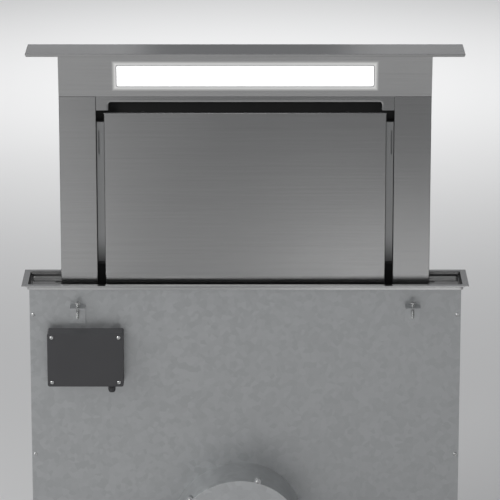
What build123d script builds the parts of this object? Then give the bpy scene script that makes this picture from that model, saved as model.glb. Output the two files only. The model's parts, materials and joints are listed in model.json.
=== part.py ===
from build123d import *
from math import asin, cos, hypot, pi, radians, sin, sqrt, tan
import os

# A downdraft vent that rises out of its flange. Millimetres. The origin is the centre of the flange's
# opening, on the face that the flange lies on. +X is to the right and +Y to the back, seen from the
# side that the light faces. The vent is drawn raised.

# ---- Driving dimensions: cap, opening and travel
LIFT_TRAVEL = 463.0          # how far the tower rises
CAP_LENGTH = 852.0
CAP_DEPTH = 92.0
CAP_THICKNESS = 6.0
CAP_SHEET = 1.5
CAP_BEVEL = 1.5              # how far the lower edge of the cap runs in
CAP_BEVEL_HEIGHT = 4.0
CAP_CORNER = 2.5
CAP_GAP = 2.0                # cap to opening, all round
CAP_PROUD = 2.0              # top of the lowered cap above z = 0
RIM_WIDTH = 12.0
FLANGE_SHEET = 1.5
GASKET_THICKNESS = 1.0
GASKET_INSET = 1.0
SEAL_HEIGHT = 2.2
SEAL_CLEARANCE = 0.3
SEAL_OVERLAP = 0.5           # of the seal and the cap's lower edge
LEDGE_WIDTH = 5.0
RECESS_DEPTH = 11.0          # top of the recess plates below z = 0
PLATE_SHEET = 1.5
PLATE_CLEARANCE = 0.5
PLATE_FOLD = 8.0
LIP_WIDTH = 10.0
LIP_WIDTH_LONG = 6.0
NOTCH_WIDTH = 12.0           # the small slot beside each column
NOTCH_DEPTH = 8.0
NOTCH_Y = 18.0
WORKTOP_THICKNESS = 30.0

# ---- Driving dimensions: tower
CAP_OVERHANG = 63.0          # cap past the tower, at each end
CAP_OVERHANG_FRONT = 20.0
CAP_OVERHANG_BACK = 8.0
TOWER_TAIL = 70.0            # how much of the raised tower stays under z = 0
TOWER_SHEET = 1.2
TOWER_GAP = 1.5              # tower to the recess plates
BEND = 1.5                   # outer radius of a fold
COLUMN_WIDTH = 72.0
COLUMN_RETURN = 20.0
BACK_RETURN = 14.0
HEAD_HEIGHT = 83.0           # sloped light panel, below the cap
HEAD_LEAN = 15.5             # how far its top stands forward
HEAD_TOP_RETURN = 16.0

# ---- Driving dimensions: light
LENS_INSET = 114.5           # tower's side to the lens
LENS_HEIGHT = 41.5
LENS_RISE = 23.0             # lower edge of the light panel to the lens, along the slope
LENS_CORNER = 2.0
LENS_GAP = 0.3
LENS_SHOULDER = 4.0
LENS_THICKNESS = 3.0
TRIM_WIDTH = 2.5
TRIM_THICKNESS = 0.5
LIGHT_BOX_DEPTH = 16.0
LIGHT_BOX_SHEET = 0.8
LED_BOARD_INSET = 13.5       # lens's end to the board
LED_BOARD_WIDTH = 18.0
LED_BOARD_THICKNESS = 1.6
LED_COUNT = 14
LED_SIZE = 4.0
LED_HEIGHT = 1.0
DRIVER_LENGTH = 150.0
DRIVER_HEIGHT = 40.0
DRIVER_DEPTH = 20.0
DRIVER_DROP = 23.5           # below the light panel's top
DRIVER_EDGE = 3.0

# ---- Driving dimensions: intake, front panel and grease filters
SIDE_CHANNEL = 15.5          # column to front panel
PANEL_TOP_GAP = 32.0         # top suction slot
PANEL_BOTTOM = -2.0
PANEL_RETURN = 8.0
PANEL_EDGE = 2.0
SURROUND_SETBACK = 2.0       # slot's surround behind the columns' fronts
SURROUND_DEPTH = 7.0
SURROUND_SHEET = 1.0
SURROUND_DROP = 13.0         # top of the slot below the light panel
SURROUND_LEG = 14.7          # how far its ends reach down beside the slot
SURROUND_END = 25.5          # column to the slot's end
SURROUND_CORNER = 4.0
SURROUND_ROLL = 5.0          # outer radius of the edge rolled in round the slot
FRAME_CLEARANCE = 0.3
FRAME_FLANGE = 18.0
FRAME_BOTTOM = -12.0
RAIL_HEIGHT = 6.0
RAIL_SETBACK = 3.8
MULLION = 18.0               # bare strip between the two filters
FILTER_DEPTH = 9.0
FILTER_CLEARANCE = 0.3
FILTER_GAP = 1.5             # front panel's returns to the filters
FILTER_SIDE_GAP = 1.0
FILTER_MEMBER = 14.0
FILTER_SHEET = 1.0
WINDOW_OVERLAP = 2.0
SHELF_RISE = 49.0            # lower edge of the frame to the shelf under the filters
SHELF_LIP = 4.0              # keeps the filters' lower edges in
PULL_WIDTH = 2.0             # slot near each filter's outer edge, for the hook that pulls it
PULL_HEIGHT = 48.0
PULL_DROP = 17.0
PULL_INSET = 4.0
MESH_PITCH = 12.0
MESH_SHEET = 0.8
MESH_CLEARANCE = 0.2
KEEPER_GAP = 1.2
KEEPER_CLEARANCE = 0.6       # keeper to the clips above it
KEEPER_TAB = 4.0             # past the filters, at each latch
LATCH_WIDTH = 34.0
LATCH_HEIGHT = 26.0
LATCH_TONGUE_WIDTH = 16.0
LATCH_SHEET = 1.2
LATCH_TAB = 3.5
LATCH_TRAVEL = 5.0
LATCH_CLEARANCE = 0.2
RIVET_RADIUS = 2.0
RIVET_HEAD_RADIUS = 3.5
RIVET_HEAD = 1.0
RIVET_SPACING = 22.0
RUNNING = 0.05               # radial clearance of a running fit
CLIP_RADIUS = 7.0
CLIP_TAPER = 1.0
CLIP_LIP = 3.0               # clip's mouth past the ball's centre
CLIP_FLOOR = 1.0
CLIP_FLANGE_RADIUS = 8.0
CLIP_FLANGE = 1.5
CLIP_SLIT = 1.2              # between the clip's fingers
BALL_RADIUS = 4.0
BALL_CLEARANCE = 0.1
BALL_GAP = 0.8               # ball to the clip's floor
STUD_RADIUS = 2.2
STUD_BASE_RADIUS = 5.0
STUD_BASE = 1.0
UPPER_CLIP_INSET = 75.5      # from the panel's side
UPPER_CLIP_DROP = 9.5        # below the panel's top edge
LOWER_CLIP_PLACES = (0.178, 0.75)    # up the panel, as shares of its height

# ---- Driving dimensions: casing
LIFT_ROOM = 72.0             # lowered carriage to the casing's floor
CASING_SHEET = 1.0
CASING_RETURN = 12.0
CASING_TOP_GAP = 0.5
BASE_UPSTAND = 15.0
CLAMP_INSET = 94.5           # from the casing's end
CLAMP_WIDTH = 30.0
CLAMP_SHEET = 2.0
CLAMP_LEG = 38.0
CLAMP_REACH = 26.0
CLAMP_DROP = 10.0            # bracket below the face that its pads press on
CLAMP_SCREW_REACH = 16.0
CLAMP_SCREW_RADIUS = 3.0
CLAMP_SCREW_LENGTH = 34.0
CLAMP_PAD_RADIUS = 6.0
CLAMP_PAD = 2.0
FOOT_SHEET = 2.0
FOOT_HEIGHT = 60.0
FOOT_REACH = 32.0
FOOT_WIDTH = 70.0
FOOT_HOLE_RADIUS = 3.5
FOOT_HOLE_SPACING = 44.0
FOOT_HOLE_REACH = 20.0
FOOT_SCREW_SPACING = 40.0
FOOT_SCREW_RISE = 34.0

# ---- Driving dimensions: lift
SHAFT_DROP = 40.0            # shaft below the tower's lower edge
SHAFT_RADIUS = 5.0
SHAFT_END = 4.0              # past the pinion
GEAR_MODULE = 2.0
PINION_TEETH = 18
PRESSURE_ANGLE = 20.0
BACKLASH = 0.15              # taken off each flank
ROOT_DEPTH = 1.25            # in modules
PINION_WIDTH = 12.0
PINION_GAP = 1.8             # tooth tips to the carriage plate
PINION_SIDE_GAP = 1.2        # pinion to the guide shoes
FLANK_STEPS = 4
RACK_BACK = 6.5
RACK_MARGIN = 22.0
SUPPORT_SHEET = 1.5
SUPPORT_OVERHANG = 2.0
SUPPORT_FOOT = 9.0
GUIDE_SHEET = 2.0
GUIDE_DEPTH = 20.0
GUIDE_HALF_WIDTH = 16.0
GUIDE_TOP_GAP = 1.5
GUIDE_BOTTOM_GAP = 10.0
SHOE_CLEARANCE = 0.3
SHOE_WEB = 5.0
SHOE_FOOT_GAP = 0.6          # foot to the rail's front
SHOE_FOOT_LENGTH = 17.0
SHOE_HEIGHT = 20.0
CARRIAGE_SHEET = 3.0
CARRIAGE_TOP = 25.0          # overlap with the column
CARRIAGE_DROP = 95.0         # below the tower
CARRIAGE_INSET = 5.0         # column's inner side to the plate
CARRIAGE_CORNER = 8.0
BEAM_OVERHANG = 3.0          # past the tower, at each end
BEAM_SHEET = 2.0
BEAM_GAP = 5.0               # below the tower
BEAM_DEPTH = 52.0
BEAM_REAR_LIP = 22.0
BEAM_WINDOW_LENGTH = 130.0
BEAM_WINDOW_DEPTH = 32.0
BEAM_WINDOW_PLACES = (0.33, 0.75)    # shares of the beam's half length
BEAM_HOLE_RADIUS = 22.0
BEARING_WIDTH = 11.0
BEARING_HALF = 10.0
BEARING_GAP = 1.5            # bearing to pinion
GEARBOX_HALF = 30.0
GEARBOX_DEPTH = 42.0
GEARBOX_TOP = 22.0           # above the shaft
GEARBOX_BOTTOM = 30.0
GEARBOX_EDGE = 4.0
MOTOR_RADIUS = 17.0
MOTOR_LENGTH = 62.0
MOTOR_SETBACK = 12.0         # behind the shaft
MOTOR_CAP = 3.0
SWITCH_WIDTH = 6.0
SWITCH_BACK_GAP = 3.5        # to the casing
SWITCH_HALF = 10.0
SWITCH_ARM = 1.0
SWITCH_CLEARANCE = 0.5

# ---- Driving dimensions: electronics
BOX_INSET = 34.5             # casing's left end to the box
BOX_WIDTH = 150.0
BOX_GAP = 10.0               # below the clamps
BOX_HEIGHT = 110.0
BOX_DEPTH = 34.0
BOX_WALL = 2.0
BOX_CORNER = 4.0
COVER_THICKNESS = 2.0
COVER_STEP = 2.0
BOARD_INSET = 8.0            # box's wall to the board's edge
BOARD_SHEET = 1.6
POST_HEIGHT = 5.0
POST_RADIUS = 3.0
POST_INSET = 5.0
TERMINAL_LENGTH = 70.0
TERMINAL_WIDTH = 9.0
TERMINAL_DEPTH = 11.0
TERMINAL_INSET = 8.0         # board's lower edge to the terminals' middle
TRANSFORMER_SIDE = 34.0
TRANSFORMER_DEPTH = 18.0
TRANSFORMER_OFFSET = 34.0    # left of the board's middle
RELAY_WIDTH = 12.0
RELAY_LENGTH = 24.0
RELAY_DEPTH = 15.0
RELAY_PITCH = 16.0
RELAY_COUNT = 3
RELAY_OFFSET = 28.0          # right of the board's middle
PARTS_RISE = 10.0            # transformer and relays above the board's middle
GLAND_INSET = 24.0
GLAND_RADIUS = 8.0
GLAND_BORE = 3.5
GLAND_LENGTH = 16.0
GLAND_COLLAR = 4.0
GLAND_NECK = 6.0

# ---- Driving dimensions: blower and outlet
BLOWER_RISE = 200.0          # above the casing's floor
BLOWER_DEPTH = 112.0
BLOWER_WALL = 2.0
CUTOFF_GAP = 8.0             # impeller to the start of the scroll
VOLUTE_STEP = 16.0
TONGUE_ANGLE = -50.0
OUTLET_REACH = 64.0          # mouth past the start of the scroll
INLET_STEP = 4.0             # impeller's eye over the inlet
IMPELLER_RADIUS = 98.0
BLADE_DEPTH = 16.0
INLET_GAP = 12.5             # impeller to the blower's back
IMPELLER_PLATE = 2.0
IMPELLER_GAP = 3.5           # to the blower's cover
BLADE_COUNT = 30
BLADE_SHEET = 1.0
BLADE_BOW = 3.0
HUB_RADIUS = 14.0
HUB_LENGTH = 34.0
FAN_SHAFT_RADIUS = 4.0
FAN_MOTOR_RADIUS = 48.0
FAN_MOTOR_LENGTH = 46.0
FAN_MOTOR_END = 6.0          # past the shaft
FAN_MOTOR_FLANGE_WIDTH = 10.0
FAN_MOTOR_FLANGE = 3.0
FAN_MOTOR_EDGE = 6.0
LUG_RADIUS = 6.0
LUG_LENGTH = 12.0
LUG_ANGLES = (15.0, 75.0, 135.0, 195.0, 250.0)
DUCT_RADIUS = 75.0
DUCT_WALL = 2.0
DUCT_LENGTH = 62.0
DUCT_GAP = 4.0               # duct to the casing's front
LOFT_LENGTH = 55.0
MOUTH_CORNER = 6.0
COLLAR_FLANGE = 3.0
COLLAR_FLANGE_WIDTH = 8.0
FLAP_SETBACK = 12.0          # hinge from the start of the round duct
FLAP_SHEET = 1.2
FLAP_GAP = 0.8
FLAP_OFFSET = 2.2
FLAP_ROD = 1.5

# ---- Driving dimensions: screws
SCREW_RADIUS = 2.0
SCREW_HEAD_RADIUS = 3.8
SCREW_HEAD = 2.4
SCREW_LENGTH = 8.0
SCREW_CROWN = 0.75           # flat of the head, as a share of its radius
SCREW_CLEARANCE = 0.2
SEAM_SCREW_PLACES = (0.086, 0.5, 0.914)    # down the casing, as shares of its height
SEAM_SCREW_INSET = 6.0
CARRIAGE_SCREW_INSETS = (17.0, 55.0)    # from the column's inner side
CARRIAGE_SCREW_DROP = 12.0   # under the carriage plate's top, and under the tower's end
OVERLAP = 1.0                # how far a cutter or a joined form reaches past a face

# ---- Derived: heights
cap_top = CAP_PROUD + LIFT_TRAVEL
cap_bottom = cap_top - CAP_THICKNESS
head_top = cap_top - CAP_SHEET
head_bottom = cap_bottom - HEAD_HEIGHT
tower_bottom = -TOWER_TAIL
rim_bottom = GASKET_THICKNESS
rim_top = rim_bottom + FLANGE_SHEET
seal_top = CAP_PROUD - CAP_THICKNESS - SEAL_CLEARANCE
ledge_top = seal_top - SEAL_HEIGHT
ledge_bottom = ledge_top - FLANGE_SHEET
plate_top = -RECESS_DEPTH
lip_top = plate_top - PLATE_SHEET
lip_bottom = lip_top - FLANGE_SHEET
panel_top = head_bottom - PANEL_TOP_GAP
panel_height = panel_top - PANEL_BOTTOM

# ---- Derived: opening, well under the ledge, casing
opening = (CAP_LENGTH + 2 * CAP_GAP, CAP_DEPTH + 2 * CAP_GAP)
opening_corner = CAP_CORNER + CAP_GAP
flange = tuple(side + 2 * RIM_WIDTH for side in opening)
collar = tuple(side + 2 * FLANGE_SHEET for side in opening)
well = tuple(side - 2 * LEDGE_WIDTH for side in opening)
well_half_x, well_half_y = well[0] / 2, well[1] / 2
casing_in_x = well_half_x + FLANGE_SHEET
casing_in_y = well_half_y + FLANGE_SHEET
casing_out_x = casing_in_x + CASING_SHEET
casing_out_y = casing_in_y + CASING_SHEET
casing_bottom = tower_bottom - CARRIAGE_DROP - LIFT_TRAVEL - LIFT_ROOM
casing_top = ledge_bottom - CASING_TOP_GAP
side_top = lip_bottom - CASING_TOP_GAP
side_bottom = casing_bottom + BASE_UPSTAND
clamp_x = casing_in_x - CLAMP_INSET
seam_screw_z = [casing_bottom * place for place in SEAM_SCREW_PLACES]

# ---- Derived: tower
tower_front = CAP_OVERHANG_FRONT - CAP_DEPTH / 2
tower_back_y = CAP_DEPTH / 2 - CAP_OVERHANG_BACK
tower_half = CAP_LENGTH / 2 - CAP_OVERHANG
column_inner = tower_half - COLUMN_WIDTH
column_skin = tower_front + TOWER_SHEET
slot_half = tower_half + TOWER_GAP
head_length = hypot(HEAD_HEIGHT, HEAD_LEAN)
lens_length = 2 * (tower_half - LENS_INSET)
led_board_length = lens_length - 2 * LED_BOARD_INSET
driver_top = head_top - DRIVER_DROP

# ---- Derived: front panel, filters and the frame that carries them
panel_half = column_inner - SIDE_CHANNEL
panel_back = tower_front + TOWER_SHEET
filter_front = tower_front + PANEL_RETURN + FILTER_GAP
filter_back = filter_front + FILTER_DEPTH
frame_face = filter_back + FILTER_CLEARANCE
frame_back = frame_face + TOWER_SHEET
frame_half = column_inner - FRAME_CLEARANCE
slot_top = head_bottom - SURROUND_DROP
slot_end = column_inner - SURROUND_END
surround_back = tower_front + SURROUND_SETBACK + SURROUND_DEPTH
filter_outer = column_inner - FILTER_SIDE_GAP
filter_inner = MULLION / 2
shelf_top = FRAME_BOTTOM + SHELF_RISE
filter_bottom = shelf_top + FILTER_CLEARANCE
shelf_front = filter_front - FILTER_CLEARANCE - TOWER_SHEET
upper_clip_z = panel_top - UPPER_CLIP_DROP
keeper_z = upper_clip_z - CLIP_FLANGE_RADIUS - KEEPER_CLEARANCE - TOWER_SHEET
filter_top = keeper_z - KEEPER_GAP
latch_x = (filter_inner + filter_outer) / 2
latch_top = filter_top + KEEPER_GAP + LATCH_TRAVEL - LATCH_CLEARANCE
clip_length = CLIP_FLOOR + BALL_GAP + BALL_RADIUS + CLIP_LIP
ball_depth = frame_face - clip_length + CLIP_LIP - panel_back

# ---- Derived: lift
carriage_front = column_skin
carriage_back = carriage_front + CARRIAGE_SHEET
carriage_top = tower_bottom + CARRIAGE_TOP
carriage_bottom = tower_bottom - CARRIAGE_DROP
carriage_inner = column_inner + CARRIAGE_INSET
carriage_screw_x = [column_inner + inset for inset in CARRIAGE_SCREW_INSETS]
pitch_radius = GEAR_MODULE * PINION_TEETH / 2
tip_radius = pitch_radius + GEAR_MODULE
root_depth = GEAR_MODULE * ROOT_DEPTH
tooth_pitch = pi * GEAR_MODULE
shaft_y = carriage_back + PINION_GAP + tip_radius
shaft_z = tower_bottom - SHAFT_DROP
pitch_line = shaft_y + pitch_radius
rack_back = pitch_line + root_depth + RACK_BACK
rack_bottom = shaft_z - LIFT_TRAVEL - RACK_MARGIN
rack_top = shaft_z + RACK_MARGIN
guide_mouth = casing_in_x - GUIDE_DEPTH
guide_top = side_top - GUIDE_TOP_GAP
shoe_half = GUIDE_HALF_WIDTH - GUIDE_SHEET - SHOE_CLEARANCE
shoe_far = casing_in_x - GUIDE_SHEET - SHOE_CLEARANCE
shoe_near = guide_mouth - SHOE_WEB - SHOE_CLEARANCE
pinion_end = shoe_near - PINION_SIDE_GAP
pinion_x = (pinion_end - PINION_WIDTH, pinion_end)
bearing_x = (pinion_x[0] - BEARING_GAP - BEARING_WIDTH, pinion_x[0] - BEARING_GAP)
beam_top = tower_bottom - BEAM_GAP
beam_half = tower_half + BEAM_OVERHANG
beam_window_x = [beam_half * place for place in BEAM_WINDOW_PLACES]

# ---- Derived: electronics
clamp_shelf = -WORKTOP_THICKNESS - CLAMP_DROP
box_top = clamp_shelf - CLAMP_LEG - BOX_GAP
box_left = BOX_INSET - casing_in_x

# ---- Derived: blower
blower_z = casing_bottom + BLOWER_RISE
blower_back = -casing_out_y
blower_front = blower_back - BLOWER_DEPTH
cover_front = blower_front - BLOWER_WALL
volute_start = IMPELLER_RADIUS + CUTOFF_GAP
outlet_x = volute_start + OUTLET_REACH
impeller_eye = IMPELLER_RADIUS - BLADE_DEPTH
inlet_radius = impeller_eye - INLET_STEP
impeller_length = BLOWER_DEPTH - BLOWER_WALL - IMPELLER_GAP - INLET_GAP
impeller_plate_y = blower_front + IMPELLER_GAP
fan_shaft_in_motor = FAN_MOTOR_LENGTH - FAN_MOTOR_END
duct_y = blower_back - DUCT_RADIUS - DUCT_GAP
duct_start = outlet_x + COLLAR_FLANGE + LOFT_LENGTH
duct_end = duct_start + DUCT_LENGTH
flap_x = duct_start + FLAP_SETBACK


# ---- Small tools
def block(x, y, z):
    """Box between a low and a high value on each axis."""
    spans = (x, y, z)
    middle = [(low + high) / 2 for low, high in spans]
    return Pos(*middle) * Box(*[high - low for low, high in spans])


def both_sides(half):
    """Span that reaches as far to each side of zero."""
    return (-half, half)


def folded(points, sheet, side):
    """Section of a folded sheet, whose outer face follows the points."""
    line = FilletPolyline(*points, radius=BEND)
    return make_face(offset(line, amount=sheet, side=side))


def upright(section, z):
    """Section drawn in plan, raised from the lower to the higher z."""
    return extrude(Pos(0, 0, z[0]) * section, z[1] - z[0])


def along_x(section, x):
    """Section drawn in Y and Z, run from the lower to the higher x."""
    return extrude(Plane.YZ.offset(x[0]) * section, x[1] - x[0])


def ring(outer, inner, z, corner):
    """Rectangular ring in plan with round corners; corner is the inner radius."""
    wall = (outer[1] - inner[1]) / 2
    section = RectangleRounded(*outer, corner + wall) - RectangleRounded(*inner, corner)
    return upright(section, z)


def mirrored(piece):
    """The same piece on the left side."""
    return mirror(piece, about=Plane.YZ)


def rod(radius, start, end):
    """Cylinder from one point to another."""
    path = Vector(*end) - Vector(*start)
    return extrude(Plane(origin=start, z_dir=path) * Circle(radius), path.length)


def turned(points, origin, direction):
    """Solid of revolution; the points are (radius, distance along the direction)."""
    plane = Plane(origin=origin, x_dir=Vector(*direction).cross(Vector(1, 1, 1)), z_dir=direction)
    frame = Plane(origin=origin, x_dir=plane.x_dir, z_dir=-plane.y_dir)
    section = frame * make_face(Polyline(*points, close=True))
    return revolve(section, Axis(origin, direction))


def screw(place, direction):
    """Domed screw; the place is where the head meets the sheet, the direction is its shank's."""
    profile = [
        (0, SCREW_LENGTH),
        (SCREW_RADIUS, SCREW_LENGTH),
        (SCREW_RADIUS, 0),
        (SCREW_HEAD_RADIUS, 0),
        (SCREW_HEAD_RADIUS * SCREW_CROWN, -SCREW_HEAD),
        (0, -SCREW_HEAD),
    ]
    return turned(profile, place, direction)


def screw_hole(place, direction, depth=2 * SCREW_LENGTH):
    """Cutter for a screw's hole, as long behind the place as in front of it."""
    way = Vector(*direction) * depth
    start = Vector(*place) - way
    end = Vector(*place) + way
    return rod(SCREW_RADIUS + SCREW_CLEARANCE, tuple(start), tuple(end))


# ---- Flange, seals and recess plates
def make_worktop_flange():
    rim = ring(flange, opening, (rim_bottom, rim_top), opening_corner)
    wall = ring(collar, opening, (ledge_bottom, rim_top), opening_corner)
    ledge = ring(collar, well, (ledge_bottom, ledge_top), opening_corner)
    lower_wall = ring((2 * casing_in_x, 2 * casing_in_y), well, (lip_bottom, ledge_top), opening_corner)
    start = slot_half + PLATE_SHEET + PLATE_CLEARANCE
    lip = block((start, well_half_x), both_sides(well_half_y), (lip_bottom, lip_top))
    lip -= block(
        (start - OVERLAP, well_half_x - LIP_WIDTH),
        both_sides(well_half_y - LIP_WIDTH_LONG),
        grown((lip_bottom, lip_top), OVERLAP),
    )
    lips = lip + mirrored(lip)
    return rim + wall + ledge + lower_wall + lips


def make_flange_gasket():
    outer = tuple(side - 2 * GASKET_INSET for side in flange)
    inner = tuple(side + 2 * GASKET_INSET for side in collar)
    return ring(outer, inner, (0, GASKET_THICKNESS), opening_corner)


def make_cap_seal():
    outer = tuple(side - 2 * PLATE_CLEARANCE for side in opening)
    inner = tuple(side - 2 * (CAP_BEVEL + SEAL_OVERLAP) for side in (CAP_LENGTH, CAP_DEPTH))
    return ring(outer, inner, (ledge_top, seal_top), CAP_CORNER)


def make_recess_plates():
    outer = well_half_x - PLATE_CLEARANCE
    points = [(outer, plate_top), (slot_half, plate_top), (slot_half, plate_top - PLATE_FOLD)]
    section = Plane.XZ * folded(points, PLATE_SHEET, Side.LEFT)
    half_depth = well_half_y - PLATE_CLEARANCE
    plate = extrude(section, half_depth, both=True)
    plate -= block(
        (slot_half - OVERLAP, slot_half + NOTCH_WIDTH),
        (NOTCH_Y - NOTCH_DEPTH / 2, NOTCH_Y + NOTCH_DEPTH / 2),
        (plate_top - 2 * PLATE_FOLD, plate_top + OVERLAP),
    )
    outer_corners = plate.edges().filter_by(Axis.Z).group_by(Axis.X)[-1]
    plate = fillet(outer_corners, opening_corner)
    return Compound([plate, mirrored(plate)])


# ---- Cap and sloped head with the light
def slope_y(z):
    """Front of the head at a height."""
    return tower_front - HEAD_LEAN * (z - head_bottom) / HEAD_HEIGHT


lens_rise = (LENS_RISE + LENS_HEIGHT / 2) / head_length
lens_z = head_bottom + HEAD_HEIGHT * lens_rise
lens_plane = Plane(
    origin=(0, slope_y(lens_z), lens_z),
    x_dir=(1, 0, 0),
    z_dir=(0, -HEAD_HEIGHT, -HEAD_LEAN),
)


def on_slope(grow, corner, low, high):
    """Rounded slab in front of or behind the lens's face, larger than the lens by grow all round."""
    section = RectangleRounded(lens_length + 2 * grow, LENS_HEIGHT + 2 * grow, corner)
    return extrude(lens_plane.offset(low) * section, high - low)


def cap_body(inset, bottom, top):
    """Slab with a bevelled lower edge, smaller than the cap by inset all round."""
    size = (CAP_LENGTH - 2 * inset, CAP_DEPTH - 2 * inset)
    low = tuple(side - 2 * CAP_BEVEL for side in size)
    corner = CAP_CORNER - inset / 2
    knee = bottom + CAP_BEVEL_HEIGHT
    bevel = loft([
        Pos(0, 0, bottom) * RectangleRounded(*low, corner),
        Pos(0, 0, knee) * RectangleRounded(*size, corner),
    ])
    return bevel + upright(RectangleRounded(*size, corner), (knee, top))


def make_top_cap():
    return cap_body(0, cap_bottom, cap_top) - cap_body(CAP_SHEET, cap_bottom, head_top)


def surround_form(inset, depth):
    """Arch round the slot with its front edge rolled in; its wall is thinner all round by inset."""
    plane = Plane(origin=(0, surround_back, 0), x_dir=(1, 0, 0), z_dir=(0, -1, 0))
    half = frame_half - inset
    top = head_bottom - inset
    low = slot_top - SURROUND_LEG + inset
    inner = slot_end + inset
    arch = slot_top + inset
    outline = Polyline(
        (inner, low),
        (half, low),
        (half, top),
        (-half, top),
        (-half, low),
        (-inner, low),
    )
    corners = [(-inner, low), (-inner, arch), (inner, arch), (inner, low)]
    slot = FilletPolyline(*corners, radius=SURROUND_CORNER + inset)
    form = extrude(plane * make_face([outline, slot]), depth)
    front = form.faces().sort_by(Axis.Y)[0]
    middle = (slot_end + half) / 2
    round_slot = front.edges().filter_by(lambda edge: abs(edge.center().X) < middle)
    rolled = round_slot.filter_by_position(Axis.Z, low, top, inclusive=(False, False))
    return fillet(rolled, SURROUND_ROLL - inset)


def make_slot_surround():
    """Folded sheet welded under the light panel."""
    hollow = surround_form(SURROUND_SHEET, SURROUND_DEPTH - SURROUND_SHEET)
    return surround_form(0, SURROUND_DEPTH) - hollow


def make_light_panel():
    points = [
        (frame_back, head_bottom),
        (tower_front, head_bottom),
        (slope_y(head_top), head_top),
        (slope_y(head_top) + HEAD_TOP_RETURN, head_top),
    ]
    front = along_x(folded(points, TOWER_SHEET, Side.RIGHT), both_sides(tower_half))
    outline = FilletPolyline(
        (tower_front, head_bottom),
        (slope_y(head_top), head_top),
        (tower_back_y, head_top),
        (tower_back_y, head_bottom),
        radius=BEND,
        close=True,
    )
    cheek = along_x(make_face(outline), (tower_half - TOWER_SHEET, tower_half))
    window = on_slope(LENS_GAP, LENS_CORNER + LENS_GAP, -2 * TOWER_SHEET, TOWER_SHEET)
    return front + cheek + mirrored(cheek) + make_slot_surround() - window


def make_light_trim():
    outer = on_slope(LENS_GAP + TRIM_WIDTH, LENS_CORNER + LENS_GAP + TRIM_WIDTH, 0, TRIM_THICKNESS)
    return outer - on_slope(LENS_GAP, LENS_CORNER + LENS_GAP, -OVERLAP, 2 * TRIM_THICKNESS)


def make_light_diffuser():
    face = on_slope(0, LENS_CORNER, -TOWER_SHEET, 0)
    return face + on_slope(LENS_SHOULDER, LENS_CORNER + LENS_SHOULDER, -LENS_THICKNESS, -TOWER_SHEET)


def make_light_box():
    inside = LENS_SHOULDER + LENS_GAP
    corner = LENS_CORNER + inside
    outer = on_slope(inside + LIGHT_BOX_SHEET, corner + LIGHT_BOX_SHEET, -LIGHT_BOX_DEPTH, -TOWER_SHEET)
    return outer - on_slope(inside, corner, LIGHT_BOX_SHEET - LIGHT_BOX_DEPTH, 0)


def make_led_board():
    seat = LIGHT_BOX_SHEET - LIGHT_BOX_DEPTH
    section = Rectangle(led_board_length, LED_BOARD_WIDTH)
    board = extrude(lens_plane.offset(seat) * section, LED_BOARD_THICKNESS)
    places = GridLocations(led_board_length / LED_COUNT, 1, LED_COUNT, 1)
    chips = Sketch() + [place * Rectangle(LED_SIZE, LED_SIZE) for place in places]
    face = lens_plane.offset(seat + LED_BOARD_THICKNESS)
    return board + extrude(face * chips, LED_HEIGHT)


def make_led_driver():
    seat = tower_back_y - TOWER_SHEET
    body = block(
        both_sides(DRIVER_LENGTH / 2),
        (seat - DRIVER_DEPTH, seat),
        (driver_top - DRIVER_HEIGHT, driver_top),
    )
    return fillet(body.faces().sort_by(Axis.Y)[0].edges(), DRIVER_EDGE)


# ---- Columns and back of the tower
def carriage_screw_places():
    """Where the right column is screwed to its carriage plate."""
    height = carriage_top - CARRIAGE_SCREW_DROP
    return [(x, tower_front, height) for x in carriage_screw_x]


def beam_screw_places():
    """Where the right carriage plate is screwed to the beam."""
    height = beam_top - CARRIAGE_SCREW_DROP
    return [(x, carriage_front, height) for x in carriage_screw_x]


def make_column():
    points = [
        (column_inner, tower_front + COLUMN_RETURN),
        (column_inner, tower_front),
        (tower_half, tower_front),
        (tower_half, tower_back_y),
    ]
    column = upright(folded(points, TOWER_SHEET, Side.LEFT), (tower_bottom, head_bottom))
    for place in carriage_screw_places():
        column -= screw_hole(place, (0, 1, 0))
    return column


def make_tower_back():
    edge = tower_half - TOWER_SHEET
    points = [
        (-edge, tower_back_y - BACK_RETURN),
        (-edge, tower_back_y),
        (edge, tower_back_y),
        (edge, tower_back_y - BACK_RETURN),
    ]
    return upright(folded(points, TOWER_SHEET, Side.RIGHT), (tower_bottom, head_top))


# ---- Intake frame, filters and latches
def latch_spans():
    """Plan of the latch's tongue: its x and y spans."""
    x = (latch_x - LATCH_TONGUE_WIDTH / 2, latch_x + LATCH_TONGUE_WIDTH / 2)
    back = filter_front - LATCH_CLEARANCE
    return x, (back - LATCH_SHEET, back)


def grown(span, margin):
    """Span with a margin at both ends."""
    return (span[0] - margin, span[1] + margin)


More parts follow.
